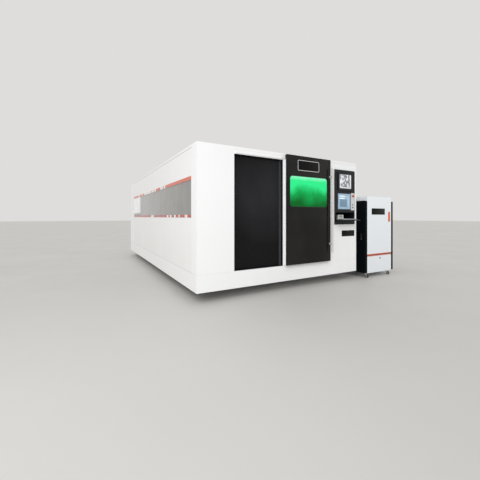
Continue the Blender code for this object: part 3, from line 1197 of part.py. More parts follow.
def slat_pallet():
    """Welded pallet frame with a row of toothed support slats."""
    left = BED_CENTRE - PALLET_WIDTH / 2
    right = BED_CENTRE + PALLET_WIDTH / 2
    top = PALLET_BOTTOM + PALLET_SIDE_HEIGHT
    pallet = block("slat_pallet", (left, PALLET_START, PALLET_BOTTOM), (right, PALLET_END, top))
    cut(pallet, block("pallet_hole",
                      (left + PALLET_SIDE_WIDTH, PALLET_START + PALLET_SIDE_WIDTH, PALLET_BOTTOM - OVERRUN),
                      (right - PALLET_SIDE_WIDTH, PALLET_END - PALLET_SIDE_WIDTH, top + OVERRUN)))
    step = (PALLET_END - PALLET_START - PALLET_SIDE_WIDTH) / (PALLET_CROSSES + 1)
    start = PALLET_START + step
    fuse(pallet, repeat(block("pallet_cross", (left + PALLET_SIDE_WIDTH / 2, start, PALLET_BOTTOM),
                              (right - PALLET_SIDE_WIDTH / 2, start + PALLET_SIDE_WIDTH,
                               PALLET_BOTTOM + PALLET_CROSS_HEIGHT + SHEET)),
                        PALLET_CROSSES, (0, step, 0)))
    clear = PALLET_END - PALLET_START - 2 * PALLET_SIDE_WIDTH
    slats = max(2, int(clear / SLAT_PITCH))
    pitch = clear / slats
    first = PALLET_START + PALLET_SIDE_WIDTH + (pitch - SLAT_THICKNESS) / 2
    slat = extrusion("slats", slat_outline(), first, first + SLAT_THICKNESS, "Y")
    fuse(pallet, repeat(slat, slats, (0, pitch, 0)))
    dress(DARK_STEEL, pallet)


def slag_tray():
    """Open sheet tray on the bed's cross beams, under the slats."""
    low = SIDE_BEAM_BOTTOM + CROSS_BEAM_SIZE + FIT
    tray = pan("slag_tray", (BED_CENTRE - BED_INNER + TRAY_MARGIN, BED_START + END_BEAM_WIDTH + TRAY_MARGIN, low),
               (BED_CENTRE + BED_INNER - TRAY_MARGIN, BED_END - END_BEAM_WIDTH - TRAY_MARGIN, low + TRAY_WALL_HEIGHT),
               SHEET, (0, 0, 1))
    dress(STEEL, tray)


def cabinet():
    """Control cabinet: shell, side panels, front panel, access door and laser source."""
    shell = pan("cabinet_body", (CABINET_LEFT, CABINET_SHELL_FRONT, CASTOR_HEIGHT),
                (CABINET_RIGHT, CABINET_BACK, CABINET_TOP), SHEET, (0, -1, 0))
    fuse(shell, block("cabinet_rail",
                      (CABINET_LEFT + SHEET / 2, CABINET_SHELL_FRONT, CABINET_SEAM - CABINET_STRIP_HEIGHT),
                      (CABINET_RIGHT - SHEET / 2, CABINET_SHELL_FRONT + CABINET_FRONT_DEPTH, CABINET_SEAM)))
    for x, y in castor_places():
        half = CASTOR_PLATE_SIZE / 2
        fuse(shell, block("castor_plate", (x - half, y - half, CASTOR_HEIGHT - CASTOR_PLATE),
                          (x + half, y + half, CASTOR_HEIGHT + SHEET / 2)))
    dress(WHITE, shell)
    low = CASTOR_HEIGHT + CABINET_SIDE_LIFT
    high = CABINET_TOP - CABINET_CAP
    for name, left in (("left", CABINET_OUTER_LEFT), ("right", CABINET_RIGHT + FIT)):
        outline = rounded((CABINET_FACE, low), (CABINET_BACK, high), [0, 0, CABINET_SIDE_RADIUS, CABINET_SIDE_RADIUS])
        side = extrusion("cabinet_side_" + name, outline, left, left + CABINET_SIDE_THICKNESS, "X")
        dress(BLACK, side)
        if name == "left":
            front = CABINET_FACE + SIDE_HANDLE_SETBACK
            base = low + SIDE_HANDLE_RISE
            outline = rounded((front, base), (front + SIDE_HANDLE_WIDTH, base + SIDE_HANDLE_LENGTH),
                              [SIDE_HANDLE_WIDTH / 3] * 4)
            cut(side, extrusion("side_handle", outline, CABINET_OUTER_LEFT - OVERRUN,
                                CABINET_OUTER_LEFT + SIDE_HANDLE_DEPTH, "X"))
    front = pan("cabinet_front_panel", (CABINET_LEFT, CABINET_FACE, CABINET_SEAM - CABINET_STRIP_HEIGHT / 2),
                (CABINET_RIGHT, CABINET_FACE + CABINET_FRONT_DEPTH, CABINET_TOP), SHEET, (0, 1, 0))
    dress(WHITE, front)
    hinge = new_holder("access_door_hinge", (CABINET_LEFT, CABINET_FACE, CASTOR_HEIGHT))
    access = pan("cabinet_access_door", (CABINET_LEFT, CABINET_FACE, CASTOR_HEIGHT + ACCESS_DOOR_LIFT),
                 (CABINET_RIGHT - ACCESS_DOOR_GAP, CABINET_FACE + CABINET_FRONT_DEPTH,
                  CABINET_SEAM - CABINET_STRIP_HEIGHT / 2 - ACCESS_DOOR_GAP), SHEET, (0, 1, 0))
    attach(access, hinge)
    dress(WHITE, access)
    laser_source()


def laser_source():
    """Rack-sized laser source that stands on the cabinet floor, with two front grips."""
    middle = (CABINET_LEFT + CABINET_RIGHT) / 2
    front = CABINET_FACE + SOURCE_SETBACK
    low = CASTOR_HEIGHT + SHEET + FIT
    source = block("laser_source", (middle - SOURCE_WIDTH / 2, front, low),
                   (middle + SOURCE_WIDTH / 2, front + SOURCE_LENGTH, low + SOURCE_HEIGHT))
    for side in (-1, 1):
        x = middle + side * (SOURCE_WIDTH / 2 - SOURCE_GRIP_INSET)
        centre = low + SOURCE_HEIGHT / 2
        reach = front - SOURCE_GRIP_REACH
        bar = SOURCE_GRIP_HEIGHT / 2
        fuse(source, rod("grip_bar", SOURCE_GRIP_RADIUS, (x, reach, centre - bar), (x, reach, centre + bar), "Z",
                         SMALL_SIDES))
        for height in (centre - bar + SOURCE_GRIP_RADIUS * 2, centre + bar - SOURCE_GRIP_RADIUS * 2):
            fuse(source, rod("grip_leg", SOURCE_GRIP_LEG_RADIUS, (x, reach, height),
                             (x, front + SHEET, height), "Y", SMALL_SIDES))
    dress(RED, source)


def castor_places():
    inset = CASTOR_INSET
    return [(x, y) for y in (CABINET_SHELL_FRONT + inset, CABINET_BACK - inset)
            for x in (CABINET_LEFT + inset, CABINET_RIGHT - inset)]


def castors():
    """Four swivel castors; each fork hangs on its swivel axis and each wheel on its axle."""
    names = ("front_left", "front_right", "rear_left", "rear_right")
    for name, (x, y) in zip(names, castor_places()):
        swivel = new_holder("castor_swivel_" + name, (x, y, SWIVEL_TOP))
        axle_y = y - CASTOR_TRAIL
        fork = castor_fork("castor_fork_" + name, x, y, axle_y)
        attach(fork, swivel)
        wheel = castor_wheel("castor_wheel_" + name, x, axle_y)
        dress(STEEL, fork)
        dress(RUBBER, wheel)


def castor_fork(name, x, y, axle_y):
    """Swivel head, two tapered cheeks and the axle between them."""
    crown = SWIVEL_TOP - SWIVEL_HEIGHT
    half = FORK_TOP_WIDTH / 2
    end = [(axle_y + FORK_END_RADIUS * math.cos(math.radians(angle)),
            WHEEL_RADIUS + FORK_END_RADIUS * math.sin(math.radians(angle)))
           for angle in range(180, 361, 45)]
    outline = end + [(y + half, crown), (y - half, crown)]
    fork = extrusion(name, outline, x - FORK_OUTER, x + FORK_OUTER, "X")
    cut(fork, block("fork_gap", (x - FORK_INNER, axle_y - OVERRUN - half, -OVERRUN),
                    (x + FORK_INNER, y + OVERRUN + half, crown - FORK_CHEEK)))
    fuse(fork, rod("swivel_head", SWIVEL_RADIUS, (x, y, crown - FORK_CHEEK / 2), (x, y, SWIVEL_TOP), "Z", ROUND_SIDES))
    fuse(fork, rod("axle", AXLE_RADIUS, (x - FORK_INNER - FORK_CHEEK / 2, axle_y, WHEEL_RADIUS),
                   (x + FORK_INNER + FORK_CHEEK / 2, axle_y, WHEEL_RADIUS), "X", SMALL_SIDES))
    return fork


def castor_wheel(name, x, axle_y):
    """Bored wheel with a rounded tread and sunk hub faces."""
    half = WHEEL_WIDTH / 2
    bore = AXLE_RADIUS + AXLE_CLEARANCE
    outer = [(WHEEL_RADIUS - WHEEL_ROUND, half), (WHEEL_RADIUS, half - WHEEL_ROUND)]
    side = [(bore, half - HUB_SINK / 2), (HUB_RADIUS, half - HUB_SINK / 2), (HUB_RADIUS + HUB_SINK, half)]
    upper = side[1:] + outer
    lower = [(radius, -height) for radius, height in reversed(upper)]
    profile = [side[0]] + upper + lower + [(bore, -side[0][1])]
    return turned(name, profile, (x, axle_y, WHEEL_RADIUS), "X", WHEEL_SIDES, closed=True)


clear_scene()
PARTS = new_collection("fiber_laser_cutting_machine")
CUTTERS = new_collection("cutters")
MACHINE = bpy.data.objects.new("machine", None)
PARTS.objects.link(MACHINE)
MACHINE.location = (-(OVERALL_LEFT + CABINET_OUTER_RIGHT) / 2, -(OVERALL_FRONT + OVERALL_BACK) / 2, 0)

WHITE = new_material("white_paint", (0.86, 0.87, 0.88), 0, 0.35)
BLACK = new_material("black_paint", (0.018, 0.018, 0.018), 0, 0.4)
DARK_STEEL = new_material("dark_steel", (0.05, 0.06, 0.07), 0.6, 0.5)
STEEL = new_material("steel", (0.55, 0.55, 0.56), 1, 0.3)
SILVER = new_material("silver_paint", (0.62, 0.62, 0.62), 0.6, 0.35)
GREY = new_material("grey_paint", (0.30, 0.31, 0.33), 0.1, 0.45)
PALE = new_material("pale_plastic", (0.72, 0.70, 0.66), 0, 0.5)
ORANGE = new_material("orange_gloss", (0.70, 0.16, 0.08), 0, 0.25)
RED = new_material("red_plastic", (0.60, 0.03, 0.02), 0, 0.35)
GREEN = new_material("green_laser_glass", (0.02, 0.45, 0.13), 0, 0.1)
FROSTED = new_material("frosted_glass", (0.38, 0.38, 0.38), 0, 0.5)
CLEAR = new_material("clear_glass", (0.75, 0.80, 0.82), 0, 0.1)
RUBBER = new_material("rubber", (0.03, 0.03, 0.03), 0, 0.7)

base_ring()
skirts()
front_portal()
recess_panel()
side_walls()
side_window()
rear_portal()
rear_gate()
roof()
door()
console()
buttons()
keyboard_tray()
bed_frame()
guide_rails()
gantry()
cross_carriage()
z_slide()
laser_head()
slat_pallet()
slag_tray()
cabinet()
castors()
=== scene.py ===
"""Dresses an enclosed laser cutting machine: finishes, sign plates, screens, keys, screws and trim.

It is laid out as an add-on. Run as a script, it builds every piece, then the floor, lamps and camera.
"""

import math

import bmesh
import bpy
from bpy.props import FloatProperty, FloatVectorProperty, IntProperty, PointerProperty
from mathutils import Matrix, Vector


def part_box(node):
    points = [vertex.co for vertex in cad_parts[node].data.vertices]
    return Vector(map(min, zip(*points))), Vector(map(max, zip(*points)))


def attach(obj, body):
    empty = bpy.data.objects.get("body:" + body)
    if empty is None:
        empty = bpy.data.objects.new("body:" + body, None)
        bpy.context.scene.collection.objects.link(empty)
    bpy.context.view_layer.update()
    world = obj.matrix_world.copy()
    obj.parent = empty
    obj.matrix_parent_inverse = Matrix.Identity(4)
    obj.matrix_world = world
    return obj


bl_info = {
    "name": "Laser cutting machine dressing",
    "version": (1, 0, 0),
    "blender": (4, 5, 0),
    "location": "3D View > Sidebar > Laser machine",
    "description": "Finishes, sign plates, screens, keys, screws and trim of a laser cutting machine",
    "category": "Object",
}

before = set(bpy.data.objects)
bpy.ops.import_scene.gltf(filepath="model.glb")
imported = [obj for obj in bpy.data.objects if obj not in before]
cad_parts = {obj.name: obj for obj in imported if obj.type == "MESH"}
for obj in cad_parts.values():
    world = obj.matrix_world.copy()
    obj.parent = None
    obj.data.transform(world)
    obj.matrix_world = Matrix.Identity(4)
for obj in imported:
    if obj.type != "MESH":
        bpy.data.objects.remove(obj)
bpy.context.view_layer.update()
PORTAL_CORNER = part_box("front_portal")[0]
ORIGIN = Vector((PORTAL_CORNER.x, PORTAL_CORNER.y, 0.0))
TURNS = {"x": (0.0, math.pi / 2, 0.0), "y": (math.pi / 2, 0.0, 0.0)}
AXES = {"x": Vector((1, 0, 0)), "y": Vector((0, 1, 0))}
FRONT = Vector((0, -1, 0))
LEFT = Vector((-1, 0, 0))
ALONG = 0.99
SMOOTH_ANGLE = math.radians(40)
BLANK = (0.0, 0.0, 0.0, 1.0)
FULL = (1.0, 1.0, 1.0, 1.0)
CASTORS = ("front_left", "front_right", "rear_left", "rear_right")


def at(x, y, z):
    """A place measured from the enclosure's front left corner on the floor."""
    return ORIGIN + Vector((x, y, z))


def paint(red, green, blue):
    """A linear colour from its 0 to 255 screen values."""
    shares = (red / 255, green / 255, blue / 255)
    return (*(s / 12.92 if s <= 0.04045 else ((s + 0.055) / 1.055) ** 2.4 for s in shares), 1.0)


def number(name, description, default, **limits):
    """A number that a user may change."""
    return FloatProperty(name=name, description=description, default=default, **limits)


def length(name, description, default):
    """A size in metres that a user may change."""
    return number(name, description, default, min=0.0, unit="LENGTH")


def colour(name, description, default):
    """A colour that a user may change, from its screen values."""
    return FloatVectorProperty(
        name=name, description=description, default=paint(*default), size=4, min=0.0, max=1.0, subtype="COLOR"
    )


# Modelling by hand


def only(piece):
    """Selects one piece and nothing else."""
    bpy.ops.object.select_all(action="DESELECT")
    piece.select_set(True)
    bpy.context.view_layer.objects.active = piece


def settle(name):
    """Names the new primitive and puts its place into its mesh."""
    piece = bpy.context.object
    piece.name = piece.data.name = name
    bpy.ops.object.transform_apply(location=True, rotation=True, scale=True)
    return piece


def block(name, low, high, turn=(0.0, 0.0, 0.0)):
    """A box between two corners, turned about its middle."""
    low, high = Vector(low), Vector(high)
    bpy.ops.mesh.primitive_cube_add(size=1.0, location=(low + high) / 2, rotation=turn, scale=high - low)
    return settle(name)


def disc(name, centre, radius, depth, axis="y", sides=32):
    """A round blank."""
    bpy.ops.mesh.primitive_cylinder_add(
        vertices=sides, radius=radius, depth=depth, location=centre, rotation=TURNS[axis]
    )
    return settle(name)


def pick(piece, faces=None, edges=None):
    """Opens edit mode with only the faces or edges that pass the test selected."""
    only(piece)
    bpy.ops.object.mode_set(mode="EDIT")
    bpy.ops.mesh.select_mode(type="FACE" if faces else "EDGE")
    bpy.ops.mesh.select_all(action="DESELECT")
    shell = bmesh.from_edit_mesh(piece.data)
    shell.normal_update()
    test = faces or edges
    for part in shell.faces if faces else shell.edges:
        part.select_set(test(part))
    bmesh.update_edit_mesh(piece.data)


def leave():
    """Closes edit mode."""
    bpy.ops.object.mode_set(mode="OBJECT")


def facing(direction):
    """A test for faces that look along a direction."""
    return lambda face: face.normal.dot(direction) > ALONG


def running(axis):
    """A test for edges that run along an axis."""
    return lambda edge: abs((edge.verts[1].co - edge.verts[0].co).normalized().dot(AXES[axis])) > ALONG


def ease(piece, width, steps=2):
    """Rounds the sharp rims of a piece and smooths its shading."""
    only(piece)
    bpy.ops.object.modifier_add(type="BEVEL")
    rim = piece.modifiers[-1]
    rim.width = width
    rim.segments = steps
    rim.limit_method = "ANGLE"
    rim.angle_limit = SMOOTH_ANGLE
    bpy.ops.object.modifier_apply(modifier=rim.name)
    bpy.ops.object.shade_smooth_by_angle(angle=SMOOTH_ANGLE)
    return piece


def round_edges(piece, test, radius, steps):
    """Rounds the edges that pass the test."""
    pick(piece, edges=test)
    bpy.ops.mesh.bevel(offset=radius, segments=steps, affect="EDGES")
    leave()
    return piece


def plate(name, low, high, radius, across="y", rim=0.0006, steps=5):
    """A flat sheet with rounded corners; across is the axis through its thickness."""
    piece = round_edges(block(name, low, high), running(across), radius, steps)
    return ease(piece, rim) if rim else piece


def open_middle(piece, width):
    """Turns a blank that lies across Y into a frame of even width."""
    pick(piece, faces=lambda face: abs(face.normal.y) > ALONG)
    bpy.ops.mesh.inset(thickness=width)
    bpy.ops.mesh.bridge_edge_loops()
    bpy.ops.mesh.select_all(action="SELECT")
    bpy.ops.mesh.normals_make_consistent(inside=False)
    leave()
    return piece


def ring(name, centre, outer, inner, depth, rim=0.0003):
    """A flat washer on an axis along Y."""
    return ease(open_middle(disc(name, centre, outer, depth, sides=36), outer - inner), rim)


def corners(node, inset):
    """The places that far inside the four corners of a solid's front."""
    low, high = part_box(node)
    across, up = (low.x + inset, high.x - inset), (low.z + inset, high.z - inset)
    return [Vector((x, low.y, z)) for x in across for z in up]


def middle_of(node, y):
    """The middle of a solid seen from the front, at that place along Y."""
    low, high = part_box(node)
    return Vector(((low.x + high.x) / 2, y, (low.z + high.z) / 2))


def sink(piece, direction, margin, depth):
    """Insets the face that looks along a direction and moves it in."""
    pick(piece, faces=facing(direction))
    bpy.ops.mesh.inset(thickness=margin)
    bpy.ops.mesh.extrude_region_move(TRANSFORM_OT_translate={"value": direction * -depth})
    leave()
    return piece


def scatter(piece, places):
    """Puts a copy with its own mesh at each place and joins the copies."""
    name = piece.name
    group = []
    for place in places:
        twin = bpy.data.objects.new(name, piece.data.copy())
        twin.data.transform(Matrix.Translation(place))
        bpy.context.scene.collection.objects.link(twin)
        group.append(twin)
    bpy.data.objects.remove(piece)
    bpy.ops.object.select_all(action="DESELECT")
    for twin in group:
        twin.select_set(True)
    bpy.context.view_layer.objects.active = group[0]
    bpy.ops.object.join()
    group[0].name = group[0].data.name = name
    return group[0]


def screw(name, radius, height):
    """A low round head with a socket, on the origin, looking along -Y."""
    head = disc(name, (0.0, -height / 2, 0.0), radius, height, sides=16)
    sink(head, FRONT, radius * 0.5, height * 0.6)
    return ease(head, height * 0.25, 1)


def mount(piece, finish, body="machine"):
    """Gives a finished piece its surface and the body it rides on."""
    piece.data.materials.clear()
    piece.data.materials.append(surface(finish))
    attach(piece, body)
    return piece


# Surfaces


class Finish:
    """A principled material whose pattern is read on the piece's own coordinates."""

    def __init__(self, name, base, metal=0.0, gloss=0.5):
        self.material = bpy.data.materials.new(name)
        self.material.use_nodes = True
        self.tree = self.material.node_tree
        self.shader = self.tree.nodes["Principled BSDF"]
        self.place = self.add("ShaderNodeTexCoord", {}).outputs["Object"]
        self.base = tuple(base)
        self.set("Base Color", self.base)
        self.set("Metallic", metal)
        self.set("Specular IOR Level", gloss)

    def feed(self, socket, value):
        """Wires a socket to another, or sets its value."""
        if isinstance(value, bpy.types.NodeSocket):
            self.tree.links.new(value, socket)
        else:
            socket.default_value = value

    def set(self, socket, value):
        """Feeds a socket of the shader."""
        self.feed(self.shader.inputs[socket], value)

    def add(self, kind, sockets, **settings):
        """Adds a node with those settings and feeds those of its sockets."""
        made = self.tree.nodes.new(kind)
        for name, value in settings.items():
            setattr(made, name, value)
        for socket, value in sockets.items():
            self.feed(made.inputs[socket], value)
        return made

    def stretched(self, scale):
        """The place with each axis scaled on its own."""
        return self.add("ShaderNodeMapping", {"Vector": self.place, "Scale": scale}).outputs["Vector"]

    def noise(self, scale, detail=2.0, place=None):
        """Cloudy noise with that many cells a metre."""
        sockets = {"Vector": place or self.place, "Scale": scale, "Detail": detail}
        return self.add("ShaderNodeTexNoise", sockets).outputs["Fac"]

    def between(self, value, low=0.0, high=1.0, start=0.3, end=0.7):
        """Maps start to end onto low to high and holds it there."""
        sockets = {"Value": value, "From Min": start, "From Max": end, "To Min": low, "To Max": high}
        return self.add("ShaderNodeMapRange", sockets).outputs["Result"]

    def mix(self, share, first, second, blend="MIX"):
        """Blends two colours."""
        sockets = {0: share, 6: first, 7: second}
        return self.add("ShaderNodeMix", sockets, data_type="RGBA", blend_type=blend).outputs[2]

    def maths(self, operation, first, second=0.0):
        """One sum on two numbers."""
        return self.add("ShaderNodeMath", {0: first, 1: second}, operation=operation).outputs[0]

    def scaled(self, first, second):
        """The product of two numbers."""
        return self.maths("MULTIPLY", first, second)

    def along(self, axis):
        """One coordinate of the place."""
        return self.add("ShaderNodeSeparateXYZ", {0: self.place}).outputs[axis]

    def reach(self, axis, start, end):
        """How far the place lies from start to end along an axis, as a share."""
        return self.between(self.along(axis), 0.0, 1.0, start, end)

    def from_step(self, axis, pitch):
        """How far the place lies from the middle of its step along an axis, in steps."""
        step = self.maths("FRACT", self.maths("DIVIDE", self.along(axis), pitch))
        return self.maths("ABSOLUTE", self.maths("SUBTRACT", step, 0.5))

    def bands(self, share, stops):
        """A hard-edged band pattern over a share that runs from 0 to 1."""
        made = self.add("ShaderNodeValToRGB", {"Fac": share})
        made.color_ramp.interpolation = "CONSTANT"
        steps = made.color_ramp.elements
        while len(steps) > 1:
            steps.remove(steps[-1])
        steps[0].position = 0.0
        steps[0].color = stops[0][1]
        for position, tone in stops[1:]:
            steps.new(position).color = tone
        return made.outputs["Color"]

    def bump(self, height, depth):
        """Raises the surface by a height pattern of that depth."""
        made = self.add("ShaderNodeBump", {"Distance": depth, "Height": height})
        self.set("Normal", made.outputs["Normal"])

    def texture(self, scale, detail, depth):
        """Raises the surface by noise."""
        self.bump(self.noise(scale, detail), depth)

    def wear(self, scale, detail, low, high):
        """Lets the roughness drift between two levels."""
        self.set("Roughness", self.between(self.noise(scale, detail), low, high))

    def glow(self, tone, strength):
        """Shows a colour and lets it shine a little by itself."""
        self.set("Base Color", tone)
        self.set("Emission Color", tone)
        self.set("Emission Strength", strength)

    def shade(self, factor):
        """The base colour times a factor."""
        return (*(channel * factor for channel in self.base[:3]), 1.0)

    def shades(self, share, low, high):
        """Blends two shades of the base colour."""
        return self.mix(share, self.shade(low), self.shade(high))

    def cloudy(self, scale, low, high):
        """Varies the base colour softly between two shares of itself."""
        tone = self.shades(self.between(self.noise(scale, 3.0)), low, high)
        self.set("Base Color", tone)
        return tone


def powder_coat(name, base, rough, grain, depth, low_shade=0.0, gloss=0.5):
    """Baked paint on sheet metal: faint clouds, fine peel, and painted shade low down."""
    coat = Finish(name, base, gloss=gloss)
    tone = coat.cloudy(0.9, 0.98, 1.01)
    # Painted shade: darker towards the floor in cloudy patches, by the share given.
    if low_shade:
        height = coat.between(coat.along("Z"), low_shade, 0.0, 0.1, 1.5)
        share = coat.scaled(height, coat.between(coat.noise(2.5, 4), 0.8, 1.0))
        coat.set("Base Color", coat.mix(share, tone, coat.shade(0.6)))
    coat.wear(3, 4, rough * 0.85, rough * 1.15)
    coat.texture(grain, 2.0, depth)
    return coat.material


def enclosure_coat(name, base, painted_shade, seam_shadow=None):
    """White coat of the enclosure: painted shade towards the floor, and a painted shadow line where panels
    meet at one height.
    """
    coat = Finish(name, base, gloss=0.35)
    tone = coat.cloudy(0.7, 0.985, 1.01)
    # Painted shade: the coat darkens towards the floor in cloudy patches, by the share given, towards the
    # painted shade colour.
    height = coat.between(coat.along("Z"), painted_shade, 0.0, 0.1, 1.6)
    share = coat.scaled(height, coat.between(coat.noise(2.5, 4), 0.7, 1.0))
    tone = coat.mix(share, tone, bpy.context.scene.machine_colours.painted_shade)
    # Painted shadow: a dark line where panels meet at one height, faint across the front and full along the
    # sides.
    if seam_shadow:
        middle, reach, depth = seam_shadow
        away = coat.maths("ABSOLUTE", coat.maths("SUBTRACT", coat.along("Z"), middle))
        fine = coat.between(coat.along("Y"), depth * 0.2, depth, ORIGIN.y + 0.1, ORIGIN.y + 0.19)
        tone = coat.mix(coat.between(away, fine, 0.0, reach * 0.7, reach), tone, coat.shade(0.08))
    coat.set("Base Color", tone)
    coat.wear(3, 4, 0.42, 0.54)
    coat.texture(800, 2, 0.00005)
    return coat.material


def gloss_black(name, base, painted_reflection, rough, gloss, reflection_spot=None):
    """Smooth dark sheet with a painted reflection: a soft mottled sheen, strongest round a point."""
    coat = Finish(name, base, gloss=gloss)
    # Painted reflection: a paler tone mixed in by soft noise, gathered round a point when one is given.
    share = coat.between(coat.noise(1.9, 5, coat.stretched((1.0, 1.0, 0.8))), 0.0, 1.0, 0.36, 0.68)
    if reflection_spot:
        away = coat.add("ShaderNodeVectorMath", {0: coat.place, 1: reflection_spot}, operation="DISTANCE")
        near = coat.between(away.outputs["Value"], 1.0, 0.15, 0.1, 0.75)
        share = coat.scaled(near, coat.between(share, 0.55, 1.0, 0.0, 1.0))
    coat.set("Base Color", coat.mix(share, coat.base, paint(*painted_reflection)))
    coat.wear(2.2, 5, rough * 0.7, rough * 1.4)
    coat.texture(240, 2, 0.00001)
    return coat.material


def brushed(name, base, rough, metal, stretch):
    """Metal with a grain drawn along one axis."""
    coat = Finish(name, base, metal)
    grain = coat.noise(1, 3, coat.stretched(stretch))
    coat.set("Base Color", coat.shades(coat.between(grain), 0.88, 1.06))
    coat.set("Roughness", coat.between(grain, rough * 0.8, rough * 1.25))
    coat.bump(grain, 0.00003)
    return coat.material


def moulded(name, base, rough, grain=1400.0, depth=0.00004):
    """Moulded plastic or rubber with a fine matt grain."""
    coat = Finish(name, base)
    coat.cloudy(14, 0.93, 1.05)
    coat.wear(40, 3, rough * 0.9, rough * 1.1)
    coat.texture(grain, 1.0, depth)
    return coat.material


def rail_steel(name, base):
    """Ground guide rail with a row of plugged bolt holes."""
    coat = Finish(name, base, 1.0)
    step = coat.from_step("Y", bpy.context.scene.machine_sizes.rail_bolt_pitch)
    plug = coat.between(step, 1.0, 0.0, 0.060, 0.075)
    grain = coat.noise(1, 3, coat.stretched((900.0, 12.0, 900.0)))
    tone = coat.shades(coat.between(grain), 0.85, 1.05)
    coat.set("Base Color", coat.mix(coat.scaled(plug, 0.6), tone, paint(60, 62, 64)))
    coat.set("Roughness", coat.between(grain, 0.16, 0.3))
    return coat.material


def rack_steel(name, base):
    """Gear rack: painted shade between the teeth at the tooth pitch, with lighter tooth tops, across an oiled
    bar.
    """
    coat = Finish(name, base, 0.9)
    tooth = coat.from_step("Y", bpy.context.scene.machine_sizes.rack_pitch)
    # Painted shade between the teeth, painted light on their tops; the bump below raises the teeth.
    valley_shade = coat.between(tooth, 0.0, 1.0, 0.18, 0.34)
    coat.set("Base Color", coat.shades(valley_shade, 1.1, 0.25))
    coat.wear(30, 3, 0.28, 0.45)
    coat.bump(coat.between(tooth, 1.0, 0.0, 0.15, 0.35), 0.002)
    return coat.material


def scorched_steel(name, base):
    """Cutting slats and slag tray: scale, rust and pale spatter."""
    coat = Finish(name, base, 0.55)
    rust = coat.between(coat.noise(9, 5), 0.0, 0.75, 0.45, 0.7)
    spatter = coat.between(coat.noise(140, 2), 0.0, 0.8, 0.62, 0.72)
    worn = coat.mix(rust, coat.base, paint(104, 74, 54))
    coat.set("Base Color", coat.mix(spatter, worn, paint(150, 146, 140)))
    coat.wear(24, 4, 0.5, 0.8)
    coat.texture(260, 4, 0.0004)
    return coat.material


def galvanised(name, base, metal):
    """Zinc coated sheet with a soft flake."""
    coat = Finish(name, base, metal)
    cells = coat.add("ShaderNodeTexVoronoi", {"Vector": coat.place, "Scale": 70.0})
    flake = coat.add("ShaderNodeSeparateColor", {0: cells.outputs["Color"]})
    coat.set("Base Color", coat.shades(flake.outputs[0], 0.85, 1.08))
    coat.set("Roughness", coat.between(flake.outputs[1], 0.3, 0.5, 0.0, 1.0))
    coat.texture(300, 2, 0.00005)
    return coat.material


def safety_pane(name, base):
    """Green laser safety acrylic with painted light: lighter towards its top where the hall light falls
    through it, a painted highlight along its top edge and a faint painted glow.
    """
    colours = bpy.context.scene.machine_colours
    coat = Finish(name, base, gloss=0.12)
    low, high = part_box("door_window")
    height = coat.reach("Z", low.z, high.z)
    swell = coat.scaled(coat.maths("SUBTRACT", coat.noise(3.4, 5), 0.5), 0.6)
    rise = coat.maths("ADD", height, swell)
    ripple = coat.scaled(coat.maths("SUBTRACT", coat.noise(9, 2), 0.5), 0.08)
    edge = coat.maths("ADD", height, ripple)
    # Painted light: the green grades from dark at the foot to light at the top.
    tone = coat.mix(coat.between(rise, 0.0, 1.0, 0.1, 0.46), colours.pane_low, colours.pane_mid)
    tone = coat.mix(coat.between(rise, 0.0, 1.0, 0.42, 0.7), tone, coat.base)
    # Painted highlight along the top edge.
    tone = coat.mix(coat.between(edge, 0.0, 0.8, 0.84, 1.0), tone, colours.pane_painted_highlight)
    # Painted glow: the pane shines a little by itself.
    coat.glow(tone, 0.18)
    coat.wear(6, 3, 0.14, 0.26)
    coat.set("IOR", 1.49)
    coat.texture(5, 2, 0.0008)
    return coat.material


def grey_pane(name, base):
    """Smoked polycarbonate with faint upright streaks, paler towards its far end."""
    coat = Finish(name, base, gloss=0.35)
    low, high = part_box("side_window_frosted")
    reach = coat.reach("Y", low.y, low.y + (high.y - low.y) * 0.8)
    streak = coat.between(coat.noise(1, 4, coat.stretched((1.0, 9.0, 0.5))))
    near = coat.shades(streak, 0.95, 1.04)
    far = coat.mix(streak, paint(178, 178, 177), paint(188, 187, 186))
    coat.set("Base Color", coat.mix(reach, near, far))
    coat.wear(5, 3, 0.28, 0.4)
    coat.set("IOR", 1.58)
    coat.texture(3, 2, 0.0003)
    return coat.material


def clear_pane(name, base):
    """Pale, partly clear polycarbonate with a painted reflection as a pale noisy haze, a faint painted glow,
    and painted shade along its foot where the beams stand behind it.
    """
    coat = Finish(name, base)
    low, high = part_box("side_window_clear")
    rise = coat.reach("Z", low.z, high.z)
    # Painted reflection: a pale haze mixed in by noise.
    tone = coat.mix(coat.noise(2, 3), paint(244, 247, 248), coat.base)
    # Painted shade along the foot.
    tone = coat.mix(coat.between(rise, 0.8, 0.0, 0.08, 0.2), tone, paint(60, 64, 68))
    # Painted glow: the pane shines a little by itself.
    coat.glow(tone, 0.1)
    coat.wear(4, 4, 0.02, 0.09)
    coat.set("Transmission Weight", 0.4)
    coat.set("IOR", 1.5)
    return coat.material


def trim_strip(name, base, *breaks):
    """Glossy coloured film, broken by plain white dashes along the window."""
    low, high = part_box("window_trim_top")
    coat = Finish(name, base)
    stops = [(0.0, BLANK)]
    for dash in breaks:
        for end, tone in zip(dash, (FULL, BLANK)):
            stops.append(((end + ORIGIN.y - low.y) / (high.y - low.y), tone))
    share = coat.reach("Y", low.y, high.y)
    tone = coat.shades(coat.between(coat.noise(1.4, 3)), 0.9, 1.12)
    coat.set("Base Color", coat.mix(coat.bands(share, stops), tone, paint(240, 236, 232)))
    coat.wear(20, 3, 0.17, 0.28)
    coat.set("Coat Weight", 0.4)
    return coat.material


